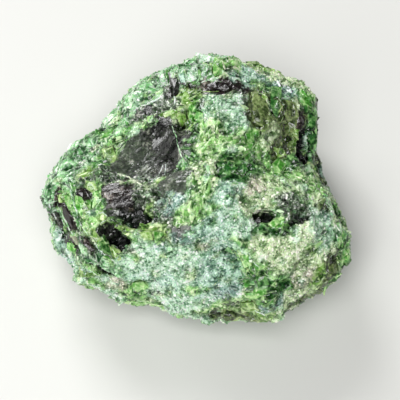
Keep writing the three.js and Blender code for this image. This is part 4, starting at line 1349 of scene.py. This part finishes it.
@dataclass(frozen=True)
class Scatter:
    """Crystals of one kit laid over the skin where a cover attribute says."""

    name: str
    kit: CrystalKit
    cover: str
    finish: DiopsideFinish
    spacing: float  # mm between crystals, at least
    length: tuple[float, float]  # mm
    width: tuple[float, float]  # mm
    tilt: float  # degrees that a crystal may lean
    twist: float  # degrees that it may turn from the growth
    seed: int
    most: int = 195_000  # triangles
    crowding: float = 2.5  # places tried on a square of the spacing
    turns: ClassVar[tuple] = (("X", "Tilt", 0), ("Y", "Tilt", 1), ("Z", "Twist", 9))  # axis, input, seed
    spans: ClassVar[tuple] = (("Shortest", "Longest", 31), ("Narrowest", "Widest", 32))  # inputs, seed
    tone_seed: ClassVar[int] = 33

    @property
    def inputs(self) -> dict[str, float]:
        """What the tree's named inputs are set to."""
        return {
            "Spacing": self.spacing, "Shortest": self.length[0], "Longest": self.length[1],
            "Narrowest": self.width[0], "Widest": self.width[1], "Tilt": self.tilt, "Twist": self.twist,
            "Seed": self.seed,
        }

    def tree(self, kit: bpy.types.Collection, material: bpy.types.Material) -> bpy.types.NodeTree:
        """Builds the node tree that lays the crystals.

        Args:
            kit: the crystals to pick from.
            material: their finish.

        Returns:
            The tree.
        """
        tree = bpy.data.node_groups.new(self.name, "GeometryNodeTree")
        face = tree.interface
        face.new_socket("Skin", in_out="INPUT", socket_type="NodeSocketGeometry")
        for label, value in self.inputs.items():
            kind = "NodeSocketInt" if isinstance(value, int) else "NodeSocketFloat"
            face.new_socket(label, in_out="INPUT", socket_type=kind)
        face.new_socket("Crystals", in_out="OUTPUT", socket_type="NodeSocketGeometry")
        given = add(tree, "NodeGroupInput").outputs
        crystals = add(tree, "GeometryNodeCollectionInfo", {"transform_space": "ORIGINAL"},
                       Collection=kit, Separate_Children=True, Reset_Children=True)
        spots = self.spots(tree, given)
        laid = add(tree, "GeometryNodeInstanceOnPoints", Points=spots.outputs["Points"],
                   Instance=crystals.outputs[0], Pick_Instance=True,
                   Rotation=self.turned(tree, given, spots), Scale=self.sized(tree, given))
        chance = add(tree, "FunctionNodeRandomValue", {"data_type": "FLOAT"},
                     n2=0.0, n3=1.0, Seed=self.tone_seed).outputs[1]
        toned = add(tree, "GeometryNodeStoreNamedAttribute", {"data_type": "FLOAT", "domain": "INSTANCE"},
                    Geometry=laid.outputs[0], Name="tone", Value=chance)
        real = add(tree, "GeometryNodeRealizeInstances", Geometry=toned.outputs[0])
        dressed = add(tree, "GeometryNodeSetMaterial", Geometry=real.outputs[0], Material=material)
        add(tree, "NodeGroupOutput", n0=dressed.outputs[0])
        return tree

    def spots(self, tree: bpy.types.NodeTree, given: Given) -> bpy.types.Node:
        """Adds the nodes that pick the crystals' places.

        Args:
            tree: the node tree.
            given: its inputs.

        Returns:
            The node that gives the places, closer together where the cover is higher.
        """
        cover = add(tree, "GeometryNodeInputNamedAttribute", {"data_type": "FLOAT"}, Name=self.cover)
        square = add(tree, "ShaderNodeMath", {"operation": "POWER"}, n0=given["Spacing"], n1=-2.0)
        density = add(tree, "ShaderNodeMath", {"operation": "MULTIPLY"},
                      n0=square.outputs[0], n1=self.crowding)
        return add(tree, "GeometryNodeDistributePointsOnFaces", {"distribute_method": "POISSON"},
                   Mesh=given["Skin"], Distance_Min=given["Spacing"], Density_Max=density.outputs[0],
                   Density_Factor=cover.outputs[0], Seed=given["Seed"])

    def turned(self, tree: bpy.types.NodeTree, given: Given, spots: bpy.types.Node) -> bpy.types.NodeSocket:
        """Adds the nodes that stand each crystal on the skin along the growth, and lean it at random.

        Args:
            tree: the node tree.
            given: its inputs.
            spots: the node that gives the places.

        Returns:
            The crystals' turns.
        """
        growth = add(tree, "GeometryNodeInputNamedAttribute", {"data_type": "FLOAT_VECTOR"}, Name="growth")
        stand = add(tree, "FunctionNodeAxesToRotation", {"primary_axis": "Z", "secondary_axis": "X"},
                    Primary_Axis=spots.outputs["Normal"], Secondary_Axis=growth.outputs[0])
        leans = {}
        for axis, label, seed in self.turns:
            turn = add(tree, "ShaderNodeMath", {"operation": "RADIANS"}, n0=given[label]).outputs[0]
            back = add(tree, "ShaderNodeMath", {"operation": "MULTIPLY"}, n0=turn, n1=-1.0).outputs[0]
            leans[axis] = add(tree, "FunctionNodeRandomValue", {"data_type": "FLOAT"},
                              n2=back, n3=turn, Seed=seed).outputs[1]
        lean = add(tree, "ShaderNodeCombineXYZ", **leans)
        return add(tree, "FunctionNodeRotateRotation", {"rotation_space": "LOCAL"},
                   Rotation=stand.outputs[0], Rotate_By=lean.outputs[0]).outputs[0]

    def sized(self, tree: bpy.types.NodeTree, given: Given) -> bpy.types.NodeSocket:
        """Adds the nodes that draw each crystal's length and width.

        Args:
            tree: the node tree.
            given: its inputs.

        Returns:
            The crystals' sizes.
        """
        length, width = [add(tree, "FunctionNodeRandomValue", {"data_type": "FLOAT"},
                             n2=given[least], n3=given[most], Seed=seed).outputs[1]
                         for least, most, seed in self.spans]
        return add(tree, "ShaderNodeCombineXYZ", X=length, Y=width, Z=width).outputs[0]

    def build(self, skin: bpy.types.Object) -> bpy.types.Object:
        """Lays the crystals over the skin.

        Args:
            skin: the stone's skin, in millimetres.

        Returns:
            The crystals as one plain mesh, in millimetres.
        """
        kit = self.kit.build()
        tree = self.tree(kit, self.finish.build())
        host = placed(self.name, skin.data.copy())
        layer = host.modifiers.new("crystals", "NODES")
        layer.node_group = tree
        for item in tree.interface.items_tree:
            if item.in_out == "INPUT" and item.name in self.inputs:
                layer[item.identifier] = self.inputs[item.name]
        evaluated = host.evaluated_get(bpy.context.evaluated_depsgraph_get())
        mesh = bpy.data.meshes.new_from_object(evaluated)
        host.modifiers.clear()
        host.data = mesh
        for crystal in list(kit.objects):
            bpy.data.objects.remove(crystal)
        bpy.data.collections.remove(kit)
        mesh.calc_loop_triangles()
        if len(mesh.loop_triangles) > self.most:
            log.warning("%s has %d triangles", self.name, len(mesh.loop_triangles))
        return host


Line = list[tuple[Vector, Vector]]  # places on the skin, each with the skin's normal


@dataclass(frozen=True)
class SeamWork:
    """The thin seams and broken edges, each a low pale ridge that follows the skin, partly a painted
    highlight.
    """

    name: str
    view: View
    small: int = 600  # seams besides the named ones
    small_length: tuple[int, int] = (3, 6)  # strides, at least and fewer than
    small_width: tuple[float, float] = (0.08, 0.18)  # mm
    small_stray: float = 0.25  # how far a small seam points away from the growth
    small_kinds: tuple[Kind, ...] = (K.MINT, K.YELLOW_GREEN, K.SUGAR)
    stride: float = 0.3  # mm
    height: float = 0.22  # over the width
    root: float = 0.8  # over the width
    stray: float = 0.05  # how far a seam wanders to its sides, mm
    stray_turns: tuple[float, float] = (7.3, 40.0)  # radians that it wanders on by in a stride, and in a mm
    taper: tuple[float, float] = (0.6, 0.2)  # strides added so that the ends are thin, but not sharp
    swell: tuple[float, float] = (0.5, 0.6)  # the least share of the width, and what swelling adds
    swell_turns: tuple[float, float] = (1.9, 31.0)  # radians that it swells on by in a stride, and in a mm
    tones: tuple[float, float] = (0.3, 1.0)

    def ridge(self, line: Line, width: float) -> list[Vector]:
        """Draws one ridge's corners, four at each stride.

        Args:
            line: the seam's course.
            width: the ridge's width, mm.

        Returns:
            The corners.
        """
        corners = []
        start = line[0][0]
        for i, (place, normal) in enumerate(line):
            ahead = line[min(i + 1, len(line) - 1)][0] - line[max(i - 1, 0)][0]
            side = normal.cross(ahead).normalized()
            turn = self.stray_turns[0] * i + self.stray_turns[1] * start.x
            place = place + self.stray * math.sin(turn) * side
            share = math.sin(math.pi * (i + self.taper[0]) / (len(line) + self.taper[1])) ** 0.5
            turn = self.swell_turns[0] * i + self.swell_turns[1] * start.y
            share *= self.swell[0] + self.swell[1] * abs(math.sin(turn))
            half = width / 2 * share
            corners += [place + half * side, place + self.height * width * share * normal,
                        place - half * side, place - self.root * width * share * normal]
        return corners

    def named_line(self, seam: Seam, tree: BVHTree) -> Line:
        """Lays a named seam on the skin.

        Args:
            seam: the seam.
            tree: the skin.

        Returns:
            Its course.
        """
        line = []
        for start, end in zip(seam.along, seam.along[1:]):
            steps = max(1, round(math.dist(start, end) / self.view.scale / self.stride))
            for k in range(steps):
                px, py = [a + (b - a) * (k / steps) for a, b in zip(start, end)]
                hit, normal, _, _ = tree.ray_cast(self.view.station, self.view.ray(px, py))
                if hit is not None:
                    line.append((hit, normal))
        return line

    def small_line(self, start: Vector, along: Vector, strides: int, tree: BVHTree) -> Line:
        """Lays a small seam on the skin.

        Args:
            start: where it begins.
            along: about where it goes.
            strides: how long it is.
            tree: the skin.

        Returns:
            Its course.
        """
        line, place = [], start
        for _ in range(strides):
            hit, normal, _, _ = tree.find_nearest(place)
            line.append((hit, normal))
            flat = along - along.dot(normal) * normal
            place = hit + self.stride * flat.normalized()
        return line

    def lines(self, mesh: bpy.types.Mesh, rng: np.random.Generator) -> list[tuple[Line, float, Mineral]]:
        """Lays all the seams on the skin.

        Args:
            mesh: the skin.
            rng: the source of chance.

        Returns:
            The course, the width in mm and the mineral of each, the named ones first.
        """
        tree = surface_of(mesh)
        points, _ = corners_of(mesh)
        growth, pale = stored(mesh, "growth"), stored(mesh, "pale")
        lines = [(self.named_line(seam, tree), seam.width, seam.kind.value) for seam in SEAMS]
        for i in rng.choice(len(points), self.small, replace=False, p=pale / pale.sum()):
            along = Vector(growth[i] + rng.normal(size=3) * self.small_stray).normalized()
            line = self.small_line(Vector(points[i]), along, int(rng.integers(*self.small_length)), tree)
            width = rng.uniform(*self.small_width)
            lines.append((line, width, self.small_kinds[rng.integers(len(self.small_kinds))].value))
        return lines

    def build(self, skin: bpy.types.Object) -> bpy.types.Object:
        """Makes all the seams.

        Args:
            skin: the stone's skin, in millimetres.

        Returns:
            The seams as one mesh, in millimetres.
        """
        rng = np.random.default_rng(SEED + 5)
        draft = Draft()
        for line, width, mineral in self.lines(skin.data, rng):
            if len(line) < 2:
                continue
            first = len(draft.corners)
            rings = [list(range(first + 4 * k, first + 4 * k + 4)) for k in range(len(line))]
            draft.corners += [tuple(corner) for corner in self.ridge(line, width)]
            draft.faces += walls(rings) + [rings[0][::-1], rings[-1]]
            draft.tint(mineral, 4 * len(line))
        count = len(draft.corners)
        draft.hold("tone", rng.uniform(*self.tones, count).tolist())
        draft.hold("skew", [1.0] * count)
        piece = draft.finished(self.name)
        piece.data.materials.append(SUGARY_FINISH.build())
        return piece


@dataclass(frozen=True)
class CrystalWork:
    """The crystals that stand out on their own, each a low bevelled plate rooted in the skin."""

    name: str
    view: View
    proud: float = 0.1  # how high a crystal stands, over its reach
    levels: tuple[float, float] = (0.6, 1.2)  # how high the top's corners stand, over that height
    peak: float = 1.1  # how high the top's middle stands, over that height
    inner: tuple[float, float] = (0.66, 0.84)  # the top over the outline
    shift: float = 0.08  # how far the top lies off the middle, over the reach
    root: float = 0.9  # mm
    foot: float = 0.85  # the root over the outline
    bend: float = 0.35  # how far a corner may lie off the crystal's plane, mm
    edges: tuple[float, float, float] = (0.5, 1.0, 0.0)  # how near to an edge the root, outline and top are

    def rings(self, crystal: Crystal, tree: BVHTree, rng: np.random.Generator) -> np.ndarray | None:
        """Works out a crystal's corners.

        Args:
            crystal: the crystal.
            tree: the skin.
            rng: the source of chance.

        Returns:
            The root's, outline's and top's corners and the top's middle, or none if it misses the skin.
        """
        hits = [tree.ray_cast(self.view.station, self.view.ray(*corner)) for corner in crystal.outline]
        if any(hit[0] is None for hit in hits):
            log.warning("crystal %s misses the stone", crystal.name)
            return None
        places = np.array([hit[0] for hit in hits])
        middle = np.median(places, axis=0)
        normal = unit(np.mean([np.array(hit[1]) for hit in hits], axis=0)[None])[0]
        off = (places - middle) @ normal
        places += (np.clip(off, -self.bend, self.bend) - off)[:, None] * normal
        spokes = places - middle
        reach = np.linalg.norm(spokes, axis=1).mean()
        shift = rng.normal(size=3) * self.shift * reach
        shift -= (shift @ normal) * normal
        lift = self.proud * reach
        levels = rng.uniform(*self.levels, (len(places), 1)) * lift
        top = middle + shift + spokes * rng.uniform(*self.inner, (len(places), 1)) + levels * normal
        root = middle + self.foot * spokes - self.root * normal
        return np.concatenate([root, places, top, [middle + shift + self.peak * lift * normal]])

    def faces(self, rings: np.ndarray, n: int, first: int) -> list[list[int]]:
        """Joins up a crystal's corners, so that its faces look outwards.

        Args:
            rings: its corners.
            n: how many its outline has.
            first: the number of its first corner in the mesh.

        Returns:
            The faces.
        """
        order = list(range(n))
        if not self.turns_left(rings[n:2 * n], rings[-1] - rings[:n].mean(axis=0)):
            order.reverse()
        root, outline, top = [[first + k * n + j for j in order] for k in range(3)]
        roof = [[top[j], top[(j + 1) % n], first + 3 * n] for j in range(n)]
        return walls([root, outline, top]) + roof + [root[::-1]]

    @staticmethod
    def turns_left(ring: np.ndarray, outward: np.ndarray) -> bool:
        """Whether a ring of corners runs anticlockwise, seen against the way out of the stone."""
        spokes = ring - ring.mean(axis=0)
        return float(np.cross(spokes, np.roll(spokes, -1, axis=0)).sum(axis=0) @ outward) > 0

    def build(self, skin: bpy.types.Object) -> bpy.types.Object:
        """Makes all the crystals.

        Args:
            skin: the stone's skin, in millimetres.

        Returns:
            The crystals as one mesh, in millimetres.
        """
        rng = np.random.default_rng(SEED + 9)
        tree = surface_of(skin.data)
        draft = Draft()
        for crystal in CRYSTALS:
            rings = self.rings(crystal, tree, rng)
            if rings is None:
                continue
            n = len(crystal.outline)
            mineral = crystal.kind.value
            draft.faces += self.faces(rings, n, len(draft.corners))
            draft.corners += rings.tolist()
            draft.hold("rim", np.repeat(self.edges, (n, n, n + 1)).tolist())
            length, width = mineral.habit.cell
            places = rings / np.array([width, length, width]) + rng.uniform(0, PATTERN_SHIFT, 3)
            draft.hold("place", places.tolist())
            draft.tint(mineral, len(rings))
            for name in HABIT_LOOKS:
                draft.hold(name, [getattr(mineral.habit, name)] * len(rings))
        return draft.finished(self.name)


@dataclass(frozen=True)
class DressedStone:
    """The whole stone: its skin and the crystals that lie over it."""

    minerals: MineralMap
    skin: StoneSkin
    scatters: tuple[Scatter, ...]
    seams: SeamWork
    crystals: CrystalWork
    margin: float = 0.02  # what the pieces keep clear of the box by, mm

    def build(self) -> list[bpy.types.Object]:
        """Makes every piece and rides it on the stone's body.

        Returns:
            The pieces, the skin first.
        """
        skin = self.skin.build(self.minerals)
        crystals = self.crystals.build(skin)
        pieces = [skin, crystals, self.seams.build(skin)] + [scatter.build(skin) for scatter in self.scatters]
        broken = BROKEN_FINISH.build()
        skin.data.materials.append(broken)
        crystals.data.materials.append(broken)
        for piece in pieces:
            self.settle(piece)
            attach(piece, "root")
            log.info("%s: %d triangles", piece.name, len(piece.data.loop_triangles))
        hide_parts(self.skin.node)
        return pieces

    def settle(self, piece: bpy.types.Object) -> None:
        """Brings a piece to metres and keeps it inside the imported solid's box.

        Args:
            piece: a piece in millimetres.
        """
        mesh = piece.data
        points, _ = corners_of(mesh)
        low, high = [np.array(corner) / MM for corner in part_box(self.skin.node)]
        low[:2] += self.margin
        high -= self.margin
        mesh.vertices.foreach_set("co", (np.clip(points, low, high) * MM).astype(np.float32).ravel())
        mesh.update()
        mesh.calc_loop_triangles()


@dataclass(frozen=True)
class Lamp:
    """A soft studio light."""

    name: str
    turn: float  # degrees from +X towards +Y
    rise: float  # degrees above the floor
    size: float  # m
    power: float  # W
    away: float = 0.5  # m from the stone

    def build(self, target: Vector) -> bpy.types.Object:
        """Adds the light, aimed at the stone.

        Args:
            target: what it points at, m.

        Returns:
            The light.
        """
        data = bpy.data.lights.new(self.name, "AREA")
        data.shape = "SQUARE"
        data.size = self.size
        data.energy = self.power
        turn, rise = math.radians(self.turn), math.radians(self.rise)
        flat = math.cos(rise)
        way = Vector((flat * math.cos(turn), flat * math.sin(turn), math.sin(rise)))
        lamp = placed(self.name, data)
        lamp.location = target + self.away * way
        lamp.rotation_euler = way.to_track_quat("Z", "Y").to_euler()
        return lamp


@dataclass(frozen=True)
class Studio:
    """A plain pale floor and soft light."""

    floor_colour: str = "#d8d8d4"
    floor_size: float = 3.0  # m
    floor_roughness: float = 0.8
    sky_colour: str = "#eef2f6"
    sky_strength: float = 0.08
    lamps: tuple[Lamp, ...] = (
        Lamp("window", turn=118.0, rise=44.0, size=0.24, power=1.64),
        Lamp("overhead", turn=262.0, rise=60.0, size=0.3, power=2.2),
        Lamp("front fill", turn=238.0, rise=26.0, size=0.3, power=0.7),
        Lamp("low window", turn=150.0, rise=20.0, size=0.15, power=0.5),
    )

    def build(self, target: Vector) -> None:
        """Adds the floor, the lights and the sky.

        Args:
            target: what the lights point at, m.
        """
        mesh = bpy.data.meshes.new("floor")
        h = self.floor_size / 2
        mesh.from_pydata([(-h, -h, 0), (h, -h, 0), (h, h, 0), (-h, h, 0)], [], [(0, 1, 2, 3)])
        floor = placed("floor", mesh)
        # Matt paint: pale and even, so that the stone's colours and its shadow show
        paint = bpy.data.materials.new("matt_paint")
        paint.use_nodes = True
        shader = paint.node_tree.nodes["Principled BSDF"]
        shader.inputs["Base Color"].default_value = linear(self.floor_colour)
        shader.inputs["Roughness"].default_value = self.floor_roughness
        mesh.materials.append(paint)
        for lamp in self.lamps:
            lamp.build(target)
        world = bpy.data.worlds.new("sky")
        world.use_nodes = True
        sky = world.node_tree.nodes["Background"]
        sky.inputs["Color"].default_value = linear(self.sky_colour)
        sky.inputs["Strength"].default_value = self.sky_strength
        bpy.context.scene.world = world
        bpy.context.scene.view_settings.view_transform = "Standard"


GRAIN_KIT = CrystalKit("sugar_grain", 4, 6, height=0.38, root=0.4, inner=0.6, bevel=0.45)
CHIP_KIT = CrystalKit("cleavage_chip", 5, 9, height=0.14, root=0.4, inner=0.6, bevel=0.6)
SCATTERS = (
    Scatter("sugar_grains", GRAIN_KIT, "grains", SUGARY_FINISH, spacing=0.31,
            length=(0.24, 0.48), width=(0.22, 0.38), tilt=35.0, twist=180.0, seed=3),
    Scatter("cleavage_chips", CHIP_KIT, "chips", CLEAVED_FINISH, spacing=0.6,
            length=(0.7, 1.9), width=(0.4, 0.85), tilt=11.0, twist=20.0, seed=5),
)


def main() -> None:
    """Builds the camera, the stone and the studio, and reports each piece."""
    logging.basicConfig(level=logging.INFO, format="%(name)s: %(message)s")
    low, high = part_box("diopside_stone")
    middle = (low + high) / 2
    view = View(middle / MM)
    view.add_camera()
    stone = DressedStone(MineralMap(view), StoneSkin(), SCATTERS, SeamWork("bright_seams", view),
                         CrystalWork("standing_crystals", view))
    pieces = stone.build()
    log.info("%d pieces", len(pieces))
    Studio().build(middle)


if __name__ == "__main__":
    main()
